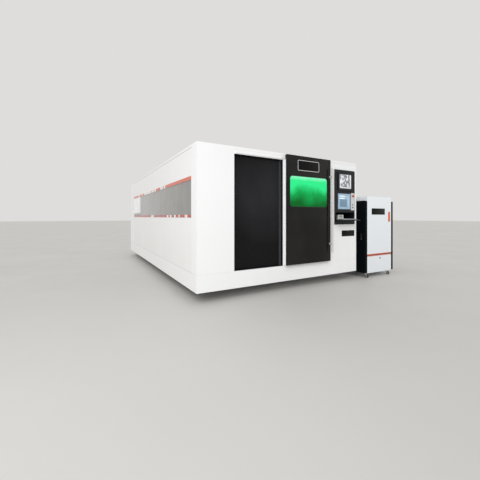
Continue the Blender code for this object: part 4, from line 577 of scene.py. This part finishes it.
def lit_screen(name, base, node, margin, make):
    """A display behind glass; make draws its plain picture from patches, its width and height both 1."""
    coat = Finish(name, base)
    low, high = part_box(node)
    across = coat.reach("X", low.x + margin, high.x - margin)
    up = coat.reach("Z", low.z + margin, high.z - margin)

    def patch(left, right, foot, top):
        """A full patch between those shares of the display's width and height."""
        wide = coat.bands(across, [(0.0, BLANK), (left, FULL), (right, BLANK)])
        tall = coat.bands(up, [(0.0, BLANK), (foot, FULL), (top, BLANK)])
        return coat.mix(1.0, wide, tall, "MULTIPLY")

    coat.glow(make(coat, up, patch), 0.3)
    coat.wear(60, 2, 0.18, 0.3)
    coat.set("Coat Weight", 0.6)
    coat.set("Coat Roughness", 0.05)
    return coat.material


def sheet_plan(coat, up, patch):
    """Pale work area filled with a plain nest of dark rounded blanks."""
    cells = coat.add("ShaderNodeTexVoronoi", {"Vector": coat.stretched((24.0, 0.0, 15.0)), "Scale": 1.0})
    blanks = coat.bands(cells.outputs["Distance"], [(0.0, BLANK), (0.05, FULL), (0.52, BLANK)])
    area = patch(0.07, 0.86, 0.14, 0.93)
    parts = coat.mix(1.0, blanks, area, "MULTIPLY")
    tone = coat.mix(coat.noise(30, 1), paint(44, 44, 54), paint(134, 134, 144))
    page = coat.mix(coat.scaled(parts, 0.9), paint(220, 221, 227), tone)
    return coat.mix(patch(0.05, 0.95, 0.07, 0.94), paint(16, 16, 20), page)


def control_page(coat, up, patch):
    """Blue panel page: two pale bars near its top that are painted highlights, a large field and a column of
    soft keys.
    """
    field = patch(0.06, 0.8, 0.04, 0.68)
    side = patch(0.86, 0.97, 0.06, 0.94)
    step = coat.maths("FRACT", coat.scaled(up, 6.0))
    rows = coat.bands(step, [(0.0, BLANK), (0.2, FULL)])
    keys = coat.mix(1.0, side, rows, "MULTIPLY")
    # Painted highlights: two pale bars near the top of the page.
    first = patch(0.02, 0.6, 0.9, 0.99)
    second = patch(0.02, 0.54, 0.71, 0.79)
    painted_highlights = coat.mix(1.0, first, second, "ADD")
    ground = coat.mix(coat.noise(9, 2), paint(132, 164, 188), paint(164, 192, 210))
    ground = coat.mix(coat.scaled(field, 0.75), ground, paint(74, 108, 136))
    ground = coat.mix(coat.scaled(keys, 0.5), ground, paint(186, 212, 228))
    return coat.mix(coat.scaled(painted_highlights, 0.85), ground, paint(236, 244, 250))


# Height, half width and strength of the painted shadow lines along the roof and skirt joints
ROOF_SEAM_SHADOW = (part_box("roof_front")[0].z + 0.003, 0.005, 0.5)
SKIRT_SEAM_SHADOW = (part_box("skirt_front")[1].z - 0.003, 0.004, 0.3)

# The solids of each finish, its maker, its tone (a user's colour or screen values) and the maker's settings
FINISHES = {
    # In the enclosure coats the first number is the share of painted shade towards the floor; the tuple after
    # it sets a painted shadow line along a joint.
    "white_coat": (("front_portal", "rear_portal", "door_track"), enclosure_coat, "white", 0.08),
    "wall_coat": (("left_wall", "right_wall"), enclosure_coat, "wall_white", 0.24),
    "cap_coat": (("roof_front", "roof_rear"), enclosure_coat, "wall_white", 0.0, ROOF_SEAM_SHADOW),
    "skirt_coat": (("skirt_front", "skirt_rear"), enclosure_coat, "white", 0.1, SKIRT_SEAM_SHADOW),
    "long_skirt_coat": (("skirt_left", "skirt_right"), enclosure_coat, "wall_white", 0.1, SKIRT_SEAM_SHADOW),
    # For the cabinet coat, 0.3 is the share of painted shade towards the floor.
    "cabinet_coat": (("cabinet_body", "cabinet_front_panel", "cabinet_access_door"),
                     powder_coat, "cabinet_white", 0.4, 800, 0.00005, 0.3, 0.4),
    # For the black panels the colour after the tone is the painted reflection, and the place on the recessed
    # panel is where it is strongest.
    "panel_black": (("recess_panel", "rear_gate"),
                    gloss_black, "panel_black", (48, 48, 52), 0.3, 0.12, at(1.2, 0.05, 1.5)),
    "door_black": (("door_leaf",), gloss_black, "door_black", (28, 26, 22), 0.12, 0.28),
    "cabinet_black": (("cabinet_side_left", "cabinet_side_right"),
                      powder_coat, "cabinet_black", 0.5, 900, 0.00006, 0.0, 0.03),
    "console_black": (("console_housing", "upper_monitor", "keyboard_tray"),
                      powder_coat, "console_black", 0.48, 520, 0.00018, 0.0, 0.3),
    "frame_paint": (("base_ring", "bed_frame"), powder_coat, "frame_grey", 0.5, 300, 0.0002, 0.0, 0.3),
    "gantry_paint": (("gantry_beam", "cross_carriage"), powder_coat, "gantry_grey", 0.4, 420, 0.0001),
    "motor_black": (("drive_left", "drive_right"), moulded, (36, 37, 39), 0.45, 500, 0.0001),
    "head_black": (("laser_head",), brushed, (44, 45, 48), 0.35, 0.6, (500, 500, 12)),
    "handle_metal": (("door_handle",), brushed, "handle", 0.34, 0.3, (700, 700, 14)),
    "strip_silver": (("button_panel",), brushed, (226, 227, 231), 0.36, 0.3, (30, 30, 900)),
    "blue_silver": (("hmi_panel",), brushed, (172, 200, 222), 0.32, 0.35, (900, 30, 30)),
    "ground_steel": (("pinion_left", "pinion_right", "z_slide"),
                     brushed, (170, 172, 175), 0.28, 1, (500, 20, 500)),
    "castor_zinc": ([f"castor_fork_{corner}" for corner in CASTORS], galvanised, (222, 223, 222), 0.3),
    "tray_steel": (("slag_tray",), scorched_steel, (82, 78, 74)),
    "rail_steel": (("rail_left", "rail_right"), rail_steel, (176, 180, 184)),
    "rack_steel": (("rack_left", "rack_right"), rack_steel, (120, 122, 124)),
    "slat_steel": (("slat_pallet",), scorched_steel, (82, 78, 74)),
    "keyboard_shell": (("keyboard",), moulded, (122, 124, 128), 0.45),
    "pendant_shell": (("hand_pendant",), moulded, (222, 221, 216), 0.42),
    "signal_red": (("estop_button",), moulded, (200, 56, 48), 0.3),
    "source_red": (("laser_source",), powder_coat, (176, 38, 34), 0.36, 500, 0.0001),
    "signal_green": (("start_button",), moulded, (38, 160, 84), 0.3),
    "button_black": (("stop_button",), moulded, (28, 28, 30), 0.35),
    "wheel_rubber": ([f"castor_wheel_{corner}" for corner in CASTORS],
                     moulded, (52, 53, 56), 0.55, 700, 0.0001),
    "safety_pane": (("door_window",), safety_pane, "pane_top"),
    "grey_pane": (("side_window_frosted",), grey_pane, (142, 141, 138)),
    "clear_pane": (("side_window_clear",), clear_pane, (252, 253, 253)),
    "top_trim": (("window_trim_top",), trim_strip, "trim_top", (1.574, 1.70), (1.75, 1.953), (2.30, 2.46),
                 (2.52, 2.74), (2.80, 3.58), (3.80, 3.90), (4.20, 4.34)),
    "bottom_trim": (("window_trim_bottom",), trim_strip, "trim_bottom", (0.355, 0.468), (0.714, 0.771),
                    (0.93, 1.02), (1.169, 1.268), (1.369, 1.475), (2.513, 2.798)),
    "profile_grey": ((), brushed, (68, 70, 74), 0.4, 0.2, (500, 500, 10)),
    "sign_black": ((), powder_coat, (12, 11, 11), 0.3, 300, 0.00001, 0.0, 0.12),
    "satin_silver": ((), brushed, (205, 206, 212), 0.34, 0.6, (30, 30, 900)),
    "key_caps": ((), moulded, (206, 207, 210), 0.5),
    "pendant_keys": ((), moulded, (142, 148, 146), 0.4),
    "signal_yellow": ((), moulded, (222, 200, 128), 0.35),
    "latch_black": ((), moulded, (36, 40, 44), 0.35),
    "seal_rubber": ((), moulded, (24, 25, 26), 0.6, 700, 0.0001),
    # Painted shadow line on the cabinet's orange strip
    "strip_painted_shadow": ((), moulded, (92, 44, 34), 0.4),
    "cabinet_orange": ((), moulded, "cabinet_orange", 0.3),
    "monitor_picture": ((), lit_screen, (188, 188, 188), "upper_monitor", 0.025, sheet_plan),
    "control_picture": ((), lit_screen, (188, 188, 188), "hmi_panel", 0.032, control_page),
}


def surface(name):
    """The named finish, made the first time it is asked for."""
    made = bpy.data.materials.get(name)
    if made:
        return made
    _, maker, tone, *settings = FINISHES[name]
    base = getattr(bpy.context.scene.machine_colours, tone) if isinstance(tone, str) else paint(*tone)
    return maker(name, base, *settings)


# Sizes and colours that a user may change


class MachineColours(bpy.types.PropertyGroup):
    """Colours of the machine's paint, panes and trim, and of the painted shade low on the enclosure."""

    white: colour("Enclosure white", "Powder coat of the enclosure", (247, 248, 249))
    wall_white: colour("Wall white", "Powder coat of the long walls", (247, 247, 247))
    cabinet_white: colour("Cabinet white", "Powder coat of the control cabinet", (243, 248, 252))
    # Colour of the painted shade on the lower sheets of the enclosure
    painted_shade: colour("Floor dust", "Tone of the dust on the lower sheets", (220, 214, 206))
    panel_black: colour("Panel black", "Paint of the recessed panel and the gate", (13, 13, 14))
    door_black: colour("Door black", "Paint of the sliding door", (7, 6, 6))
    cabinet_black: colour("Cabinet black", "Paint of the cabinet's sides", (13, 17, 20))
    console_black: colour("Console black", "Wrinkle paint of the operator console", (26, 28, 33))
    frame_grey: colour("Frame grey", "Paint of the bed and base frames", (34, 36, 39))
    gantry_grey: colour("Gantry grey", "Paint of the gantry", (142, 146, 150))
    handle: colour("Handle", "Satin finish of the door handle", (226, 223, 218))
    # The pane's greens are painted light, dark at its foot and light at its top, with a painted highlight
    # along its top edge.
    pane_top: colour("Pane, upper", "Green of the door pane near its top", (46, 232, 138))
    pane_painted_highlight: colour("Pane, glow", "Green of the door pane along its top edge", (170, 250, 214))
    pane_mid: colour("Pane, middle", "Green of the door pane at its middle", (10, 166, 80))
    pane_low: colour("Pane, lower", "Green of the door pane near its foot", (2, 98, 34))
    trim_top: colour("Upper strip", "Film over the side window", (216, 88, 42))
    trim_bottom: colour("Lower strip", "Film under the side window", (178, 52, 42))
    cabinet_orange: colour("Cabinet orange", "Strip and bar on the cabinet", (222, 98, 54))


class MachineSizes(bpy.types.PropertyGroup):
    """Sizes of the plates, keys and trim."""

    plate_thickness: length("Plate thickness", "Thickness of the sign plates", 0.004)
    door_sign_width: length("Door sign width", "Width of the plate on the door", 0.474)
    door_sign_height: length("Door sign height", "Height of the plate on the door", 0.172)
    door_sign_left: length("Door sign inset", "From the leaf's left edge", 0.220)
    door_sign_drop: length("Door sign drop", "From the leaf's top edge", 0.069)
    profile_width: length("Edge profile width", "Profile at the recessed panel's right edge", 0.040)
    console_sign_width: length("Console sign width", "Width of the plate under the console", 0.344)
    console_sign_height: length("Console sign height", "Height of the plate under the console", 0.109)
    console_sign_drop: length("Console sign drop", "From the console's lower edge", 0.113)
    cabinet_sign_left: length("Cabinet sign inset", "From the cabinet front's left edge", 0.135)
    cabinet_sign_width: length("Cabinet sign width", "Width of the plate on the cabinet", 0.417)
    cabinet_sign_low: length("Cabinet sign height", "Lower edge over the floor", 1.236)
    cabinet_sign_height: length("Cabinet sign size", "Height of the plate on the cabinet", 0.122)
    bar_left: length("Bar inset", "Orange bar from the cabinet front's left edge", 0.668)
    bar_width: length("Bar width", "Width of the cabinet's orange bar", 0.066)
    bar_low: length("Bar foot", "Lower end of the bar over the floor", 1.087)
    bar_height: length("Bar length", "Length of the cabinet's orange bar", 0.205)
    strip_height: length("Strip height", "Height of the cabinet's orange strip", 0.032)
    # The dark line is a painted shadow along the gap by the access door.
    strip_shadow_height: length("Strip line", "Height of the dark line in the orange strip", 0.013)
    latch_height: length("Latch height", "Length of the latch on the cabinet's side", 0.106)
    latch_low: length("Latch foot", "Lower end of the latch over the floor", 0.752)
    lock_left: length("Lock inset", "Lock from the access door's left edge", 0.397)
    lock_drop: length("Lock drop", "Lock below the access door's top edge", 0.062)
    lock_radius: length("Lock radius", "Radius of the cabinet lock", 0.013)
    gasket_width: length("Gasket width", "Width of the rubber round the door pane", 0.009)
    flange_radius: length("Flange radius", "Radius of the handle's foot flanges", 0.019)
    screw_radius: length("Screw radius", "Radius of the console's screw heads", 0.0045)
    key_size: length("Key size", "Side of a keyboard key", 0.0165)
    key_pitch: length("Key pitch", "Distance between keyboard keys", 0.0192)
    key_height: length("Key height", "Height of a keyboard key", 0.004)
    rail_bolt_pitch: length("Rail bolt pitch", "Distance between the rails' bolts", 0.06)
    rack_pitch: length("Rack pitch", "Distance between the racks' teeth", 0.00785)
    louvres: IntProperty(name="Louvres", description="Louvres on the cabinet's back", default=9, min=1)


class StageSettings(bpy.types.PropertyGroup):
    """Floor, lamps and camera."""

    floor: colour("Floor", "Pale floor", (202, 200, 196))
    backdrop: colour("Backdrop", "What shows behind the machine", (222, 221, 219))
    ambient: number("Ambient", "Level of the even light", 0.78, min=0.0)
    sun: number("Sun", "Strength of the soft lamp", 0.95, min=0.0)
    key: number("Key", "Power of the wide lamp near the front left corner", 34.0, min=0.0)
    work: number("Work", "Power of the lamp inside the enclosure", 30.0, min=0.0)
    eye_x: number("Eye X", "Camera across the front", -1.331, unit="LENGTH")
    eye_y: number("Eye Y", "Camera ahead of the front", -3.512, unit="LENGTH")
    eye_z: number("Eye Z", "Camera over the floor", 1.198, unit="LENGTH")
    turn: number("Turn", "Turn to the right", math.radians(29.67), unit="ROTATION")
    lens: number("Lens", "Focal length in millimetres", 20.78, min=1.0)
    shift: number("Rise", "Vertical shift of the view", -0.049)


# Operators


class LASER_OT_finishes(bpy.types.Operator):
    """Puts a detailed finish on every solid of the machine"""

    bl_idname = "laser.finishes"
    bl_label = "Finishes"

    def execute(self, context):
        bare = set(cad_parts)
        for name, (nodes, *_) in FINISHES.items():
            for node in nodes:
                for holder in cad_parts[node].material_slots:
                    holder.material = surface(name)
            bare -= set(nodes)
        if bare:
            raise RuntimeError(f"these solids have no finish: {sorted(bare)}")
        return {"FINISHED"}


class LASER_OT_sign_plates(bpy.types.Operator):
    """Bare sign plates on the door, under the console and on the cabinet"""

    bl_idname = "laser.sign_plates"
    bl_label = "Sign plates"

    def execute(self, context):
        sizes = context.scene.machine_sizes
        deep = sizes.plate_thickness
        leaf_low, leaf_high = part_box("door_leaf")
        left = leaf_low.x + sizes.door_sign_left
        top = leaf_high.z - sizes.door_sign_drop
        low = Vector((left, leaf_low.y - deep, top - sizes.door_sign_height))
        high = Vector((left + sizes.door_sign_width, leaf_low.y, top))
        rim_width, rim_corner, corner, sunk = 0.008, 0.022, 0.014, 0.0015
        rim = open_middle(plate("door_sign_rim", low, high, rim_corner, rim=0.0), rim_width)
        mount(ease(rim, 0.001), "strip_silver", "door")
        inset = rim_width + 0.0002
        low, high = low + Vector((inset, sunk, inset)), high - Vector((inset, 0.0, inset))
        face = plate("door_sign_face", low, high, corner)
        mount(face, "sign_black", "door")

        corner = 0.004
        box_low, box_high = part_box("console_housing")
        top = box_low.z - sizes.console_sign_drop
        low = (box_high.x - sizes.console_sign_width, ORIGIN.y - deep, top - sizes.console_sign_height)
        mount(plate("console_sign", low, (box_high.x, ORIGIN.y, top), corner), "sign_black")

        box_low, box_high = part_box("cabinet_front_panel")
        left = box_low.x + sizes.cabinet_sign_left
        low = (left, box_low.y - deep, sizes.cabinet_sign_low)
        top = sizes.cabinet_sign_low + sizes.cabinet_sign_height
        high = (left + sizes.cabinet_sign_width, box_low.y, top)
        mount(plate("cabinet_sign", low, high, corner), "sign_black")
        return {"FINISHED"}


class LASER_OT_door_fittings(bpy.types.Operator):
    """Pane gasket, leaf edge, handle flanges and bolts, panel profile and the stop in the track"""

    bl_idname = "laser.door_fittings"
    bl_label = "Door fittings"

    def execute(self, context):
        sizes = context.scene.machine_sizes
        leaf_low, leaf_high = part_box("door_leaf")
        pane_low, pane_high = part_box("door_window")
        pane_lap, corner = 0.012, 0.056
        lap = pane_lap - sizes.gasket_width
        low = (pane_low.x + lap, leaf_low.y - 0.002, pane_low.z + lap)
        high = (pane_high.x - lap, leaf_low.y, pane_high.z - lap)
        gasket = open_middle(plate("pane_gasket", low, high, corner, rim=0.0, steps=8), sizes.gasket_width)
        mount(ease(gasket, 0.0008), "seal_rubber", "door")

        track_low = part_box("door_track")[0]
        proud, deep, clear = 0.002, 0.028, 0.003
        edge = block("leaf_edge", (leaf_low.x - proud, leaf_high.y - deep, leaf_low.z + 0.001),
                     (leaf_low.x, leaf_high.y, track_low.z - clear))
        sink(edge, LEFT, 0.006, 0.0008)
        mount(ease(edge, 0.0004), "white_coat", "door")

        bar_low, bar_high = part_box("door_handle")
        middle = (bar_low.x + bar_high.x) / 2
        inset, thick = 0.145, 0.005
        posts = [Vector((middle, leaf_low.y, height)) for height in (bar_low.z + inset, bar_high.z - inset)]
        flange = disc("handle_flanges", (0.0, -thick / 2, 0.0), sizes.flange_radius, thick)
        flange = scatter(ease(flange, 0.0012), posts)
        mount(flange, "satin_silver", "door")
        reach = Vector((0.0, bar_low.y - leaf_low.y, 0.0))
        bolt = scatter(screw("handle_bolts", 0.008, thick), [post + reach for post in posts])
        mount(bolt, "satin_silver", "door")

        panel_low, panel_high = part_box("recess_panel")
        gap, deep = 0.0035, 0.012
        right, back = panel_high.x - gap, panel_high.y - gap
        profile = block("panel_profile", (right - sizes.profile_width, back - deep, panel_low.z + gap),
                        (right, back, panel_high.z - gap))
        sink(profile, FRONT, 0.007, 0.006)
        mount(ease(profile, 0.001), "profile_grey")

        thick, radius = 0.0024, 0.007
        stop = disc("track_stop", at(1.450, track_low.y - ORIGIN.y - thick / 2, 2.134), radius, thick)
        mount(ease(stop, 0.0006), "seal_rubber")
        return {"FINISHED"}


class LASER_OT_screens(bpy.types.Operator):
    """The two displays, each a glass sheet in its sunk frame"""

    bl_idname = "laser.screens"
    bl_label = "Screens"

    def execute(self, context):
        for name, node, margin, finish in (
            ("monitor_glass", "upper_monitor", 0.025, "monitor_picture"),
            ("control_glass", "hmi_panel", 0.032, "control_picture"),
        ):
            low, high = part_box(node)
            sunk, play, thick, corner = 0.004, 0.0004, 0.0016, 0.003
            face, edge = low.y + sunk, margin + play
            low = (low.x + edge, face - thick, low.z + edge)
            mount(plate(name, low, (high.x - edge, face, high.z - edge), corner), finish)
        return {"FINISHED"}


class LASER_OT_console_fittings(bpy.types.Operator):
    """Emergency stop backing, button rings and the console's screws"""

    bl_idname = "laser.console_fittings"
    bl_label = "Console fittings"

    def execute(self, context):
        sizes = context.scene.machine_sizes
        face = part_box("button_panel")[0].y
        centre = middle_of("estop_button", face - 0.00035)
        backing = ring("estop_backing", centre, 0.024, 0.0118, 0.0007, 0.0002)
        mount(backing, "signal_yellow")
        collar = ring("button_collars", (0.0, -0.001, 0.0), 0.0158, 0.0122, 0.002, 0.0005)
        collar = scatter(collar, [middle_of(node, face) for node in ("start_button", "stop_button")])
        mount(collar, "satin_silver")

        heads = screw("bezel_screws", sizes.screw_radius, 0.0022)
        mount(scatter(heads, corners("console_housing", 0.014)), "ground_steel")
        heads = screw("strip_screws", 0.003, 0.0012)
        mount(scatter(heads, corners("button_panel", 0.007)), "ground_steel")
        return {"FINISHED"}


class LASER_OT_keys(bpy.types.Operator):
    """Key caps of the keyboard and the buttons and display of the hand pendant"""

    bl_idname = "laser.keys"
    bl_label = "Keys"

    def execute(self, context):
        sizes = context.scene.machine_sizes
        low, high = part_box("keyboard")
        rise = 0.007
        slope = math.atan2(rise, high.y - low.y)
        side, tall, pitch, sunk = sizes.key_size, sizes.key_height, sizes.key_pitch, 0.0005
        half = side / 2
        cap = block("keyboard_keys", (-half, -half, -sunk), (half, half, tall), (slope, 0.0, 0.0))
        taper = 0.8
        pick(cap, faces=lambda face: face.normal.z > 0.9)
        bpy.ops.transform.resize(value=(taper, taper, 1.0))
        leave()
        ease(cap, 0.0008, 1)
        columns = int((high.x - low.x - 0.01) / pitch)
        rows = int((high.y - low.y - 0.012) / pitch)
        first_x = (low.x + high.x) / 2 - (columns - 1) * pitch / 2
        first_y = (low.y + high.y) / 2 - (rows - 1) * pitch / 2
        places = []
        for row in range(rows):
            y = first_y + row * pitch
            z = high.z - (high.y - y) * math.tan(slope)
            for column in range(columns):
                under_bar = row == 0 and 3 < column < columns - 6 and column != 7
                if not under_bar:
                    places.append(Vector((first_x + column * pitch, y, z)))
        mount(scatter(cap, places), "key_caps", "tray")
        foot = high.z - (high.y - first_y) * math.tan(slope)
        bar = block("space_bar", (first_x + 3.6 * pitch, first_y - half, foot - sunk),
                    (first_x + (columns - 6.6) * pitch, first_y + half, foot + tall))
        mount(ease(bar, 0.001), "key_caps", "tray")

        low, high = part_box("hand_pendant")
        middle = (low.x + high.x) / 2
        half, proud = 0.042, 0.0012
        display = plate("pendant_display", (middle - half, low.y - proud, high.z - 0.04),
                        (middle + half, low.y, high.z - 0.012), 0.003)
        mount(display, "pendant_keys", "tray")
        button = ease(block("pendant_buttons", (-0.008, -0.002, -0.006), (0.008, 0.0, 0.006)), 0.0012)
        pitch = 0.022
        places = [
            Vector((middle + step * pitch, low.y, low.z + height))
            for step in (-1.5, -0.5, 0.5, 1.5) for height in (0.018, 0.038)
        ]
        mount(scatter(button, places), "pendant_keys", "tray")
        return {"FINISHED"}


class LASER_OT_cabinet_trim(bpy.types.Operator):
    """Orange strips with a painted shadow line, bar, side edge, lock, latch, and the louvres on the cabinet's
    back
    """

    bl_idname = "laser.cabinet_trim"
    bl_label = "Cabinet trim"

    def execute(self, context):
        sizes = context.scene.machine_sizes
        low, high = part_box("cabinet_front_panel")
        gap, film, corner = 0.0005, 0.0015, 0.001
        foot = low.z + gap
        strip = plate("cabinet_strip", (low.x + gap, low.y - film, foot),
                      (high.x - gap, low.y, foot + sizes.strip_height), corner, steps=2)
        mount(strip, "cabinet_orange")
        # Painted shadow: a dark brown line across the orange strip where the gap by the access door lies in
        # shade.
        middle, half = foot + sizes.strip_height * 0.36, sizes.strip_shadow_height / 2
        line = plate("cabinet_strip_shadow", (low.x + gap, low.y - 0.0022, middle - half),
                     (high.x - gap, low.y - 0.0014, middle + half), corner, rim=0.0002, steps=2)
        mount(line, "strip_painted_shadow")
        door_low, door_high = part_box("cabinet_access_door")
        edge = plate("door_strip", (door_low.x + gap, door_low.y - film, door_high.z - 0.01),
                     (door_high.x - gap, door_low.y, door_high.z - gap), corner, steps=2)
        mount(edge, "cabinet_orange", "access_door")

        side_low, side_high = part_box("cabinet_side_right")
        inset, proud = 0.001, 0.002
        edge = plate("side_edge", (side_low.x + inset, side_low.y - proud, side_low.z + inset),
                     (side_high.x - inset, side_low.y, side_high.z - inset), 0.006)
        mount(edge, "cabinet_black")

        left = low.x + sizes.bar_left
        bar = block("cabinet_bar", (left, low.y - film, sizes.bar_low),
                    (left + sizes.bar_width, low.y, sizes.bar_low + sizes.bar_height))
        lower = lambda edge: running("y")(edge) and edge.verts[0].co.z < sizes.bar_low + 0.001
        round_edges(bar, lower, sizes.bar_width * 0.49, 8)
        mount(ease(bar, 0.0005), "cabinet_orange")

        radius = sizes.lock_radius
        place = Vector((door_low.x + sizes.lock_left, door_low.y, door_high.z - sizes.lock_drop))
        barrel = scatter(screw("cabinet_lock", radius, 0.005), [place])
        mount(barrel, "button_black", "access_door")
        collar = ring("cabinet_lock_ring", place + FRONT * 0.001, radius + 0.004, radius + 0.0004, 0.002)
        mount(collar, "ground_steel", "access_door")

        low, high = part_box("cabinet_side_left")
        y, foot, top = low.y + 0.091, sizes.latch_low, sizes.latch_low + sizes.latch_height
        half, over = 0.015, 0.01
        tray = plate("latch_plate", (low.x - 0.002, y - half, foot - over),
                     (low.x, y + half, top + over), 0.008, "x")
        mount(tray, "latch_black")
        lever = plate("latch_lever", (low.x - 0.011, y - half / 2, foot + 0.02),
                      (low.x - 0.0018, y + half / 2, top), 0.006, "x", 0.0015)
        mount(lever, "latch_black")
        key = disc("latch_key", (low.x - 0.0035, y, foot + 0.006), 0.0065, 0.005, "x", 20)
        mount(ease(sink(key, LEFT, 0.002, 0.001), 0.0006), "satin_silver")

        body_low, body_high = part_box("cabinet_body")
        middle = (body_low.x + body_high.x) / 2
        half, pitch, lowest = 0.16, 0.03, 1.08
        louvre = block("cabinet_louvres", (-half, 0.0, 0.0), (half, 0.007, 0.013))
        outer = lambda edge: running("x")(edge) and edge.verts[0].co.y > 0.006 and edge.verts[0].co.z > 0.01
        ease(round_edges(louvre, outer, 0.006, 4), 0.0008)
        places = [Vector((middle, body_high.y, lowest + step * pitch)) for step in range(sizes.louvres)]
        mount(scatter(louvre, places), "cabinet_coat")
        return {"FINISHED"}


class LASER_OT_stage(bpy.types.Operator):
    """Pale floor, even light, three lamps and the camera"""

    bl_idname = "laser.stage"
    bl_label = "Stage"

    def execute(self, context):
        stage = context.scene.stage_settings
        bpy.ops.mesh.primitive_plane_add(size=160.0, location=(0.0, 0.0, 0.0))
        floor = context.object
        floor.name = "floor"
        ground = Finish("floor_paint", stage.floor, gloss=0.2)
        ground.cloudy(0.5, 0.97, 1.02)
        ground.wear(1.5, 3, 0.5, 0.7)
        floor.data.materials.append(ground.material)

        wide = at(-2.6, -2.6, 2.4)
        aim = (at(0.0, 0.0, 1.2) - wide).to_track_quat("-Z", "Y").to_euler()
        tilt = (math.radians(52), 0.0, math.radians(-36))
        level = (0.0, 0.0, 0.0)
        for name, kind, place, turn, power, shape in (
            ("soft_lamp", "SUN", level, tilt, stage.sun, {"angle": math.radians(38)}),
            ("wide_lamp", "AREA", wide, aim, stage.key, {"size": 2.2}),
            ("work_lamp", "AREA", at(1.6, 2.9, 2.08), level, stage.work,
             {"shape": "RECTANGLE", "size": 1.6, "size_y": 4.6}),
        ):
            bpy.ops.object.light_add(type=kind, location=place, rotation=turn)
            lamp = context.object
            lamp.name = name
            lamp.data.energy = power
            for setting, value in shape.items():
                setattr(lamp.data, setting, value)

        world = bpy.data.worlds.new("even_light")
        context.scene.world = world
        world.use_nodes = True
        nodes, links = world.node_tree.nodes, world.node_tree.links
        nodes.clear()
        path = nodes.new("ShaderNodeLightPath")
        seen = path.outputs["Is Camera Ray"]
        for ray in ("Is Glossy Ray", "Is Transmission Ray"):
            either = nodes.new("ShaderNodeMath")
            either.operation = "MAXIMUM"
            links.new(seen, either.inputs[0])
            links.new(path.outputs[ray], either.inputs[1])
            seen = either.outputs[0]
        blend = nodes.new("ShaderNodeMixShader")
        links.new(seen, blend.inputs[0])
        for socket, tone, strength in ((1, FULL, stage.ambient), (2, stage.backdrop, 1.0)):
            glow = nodes.new("ShaderNodeBackground")
            glow.inputs["Color"].default_value = tone
            glow.inputs["Strength"].default_value = strength
            links.new(glow.outputs[0], blend.inputs[socket])
        links.new(blend.outputs[0], nodes.new("ShaderNodeOutputWorld").inputs["Surface"])

        bpy.ops.object.camera_add(
            location=at(stage.eye_x, stage.eye_y, stage.eye_z), rotation=(math.pi / 2, 0.0, -stage.turn)
        )
        eye = context.object
        eye.name = "camera"
        eye.data.sensor_width = 36.0
        eye.data.lens = stage.lens
        eye.data.shift_y = stage.shift
        eye.data.clip_end = 200.0
        context.scene.camera = eye
        context.scene.view_settings.view_transform = "Standard"
        return {"FINISHED"}


OPERATORS = (
    LASER_OT_finishes, LASER_OT_sign_plates, LASER_OT_door_fittings, LASER_OT_screens,
    LASER_OT_console_fittings, LASER_OT_keys, LASER_OT_cabinet_trim, LASER_OT_stage,
)
SETTINGS = {"machine_colours": MachineColours, "machine_sizes": MachineSizes, "stage_settings": StageSettings}


class LASER_PT_dressing(bpy.types.Panel):
    """Lists the machine's pieces"""

    bl_idname = "LASER_PT_dressing"
    bl_label = "Laser machine"
    bl_space_type = "VIEW_3D"
    bl_region_type = "UI"
    bl_category = "Laser machine"

    def draw(self, context):
        for operator in OPERATORS:
            self.layout.operator(operator.bl_idname)


CLASSES = (*SETTINGS.values(), *OPERATORS, LASER_PT_dressing)


def register():
    """Registers the settings, the operators and the panel."""
    for item in CLASSES:
        bpy.utils.register_class(item)
    for name, group in SETTINGS.items():
        setattr(bpy.types.Scene, name, PointerProperty(type=group))


def unregister():
    """Removes what register added."""
    for name in SETTINGS:
        delattr(bpy.types.Scene, name)
    for item in reversed(CLASSES):
        bpy.utils.unregister_class(item)


def main():
    """Registers the add-on and builds everything in order."""
    register()
    bpy.ops.laser.finishes()
    bpy.ops.laser.sign_plates()
    bpy.ops.laser.door_fittings()
    bpy.ops.laser.screens()
    bpy.ops.laser.console_fittings()
    bpy.ops.laser.keys()
    bpy.ops.laser.cabinet_trim()
    bpy.ops.laser.stage()


if __name__ == "__main__":
    main()
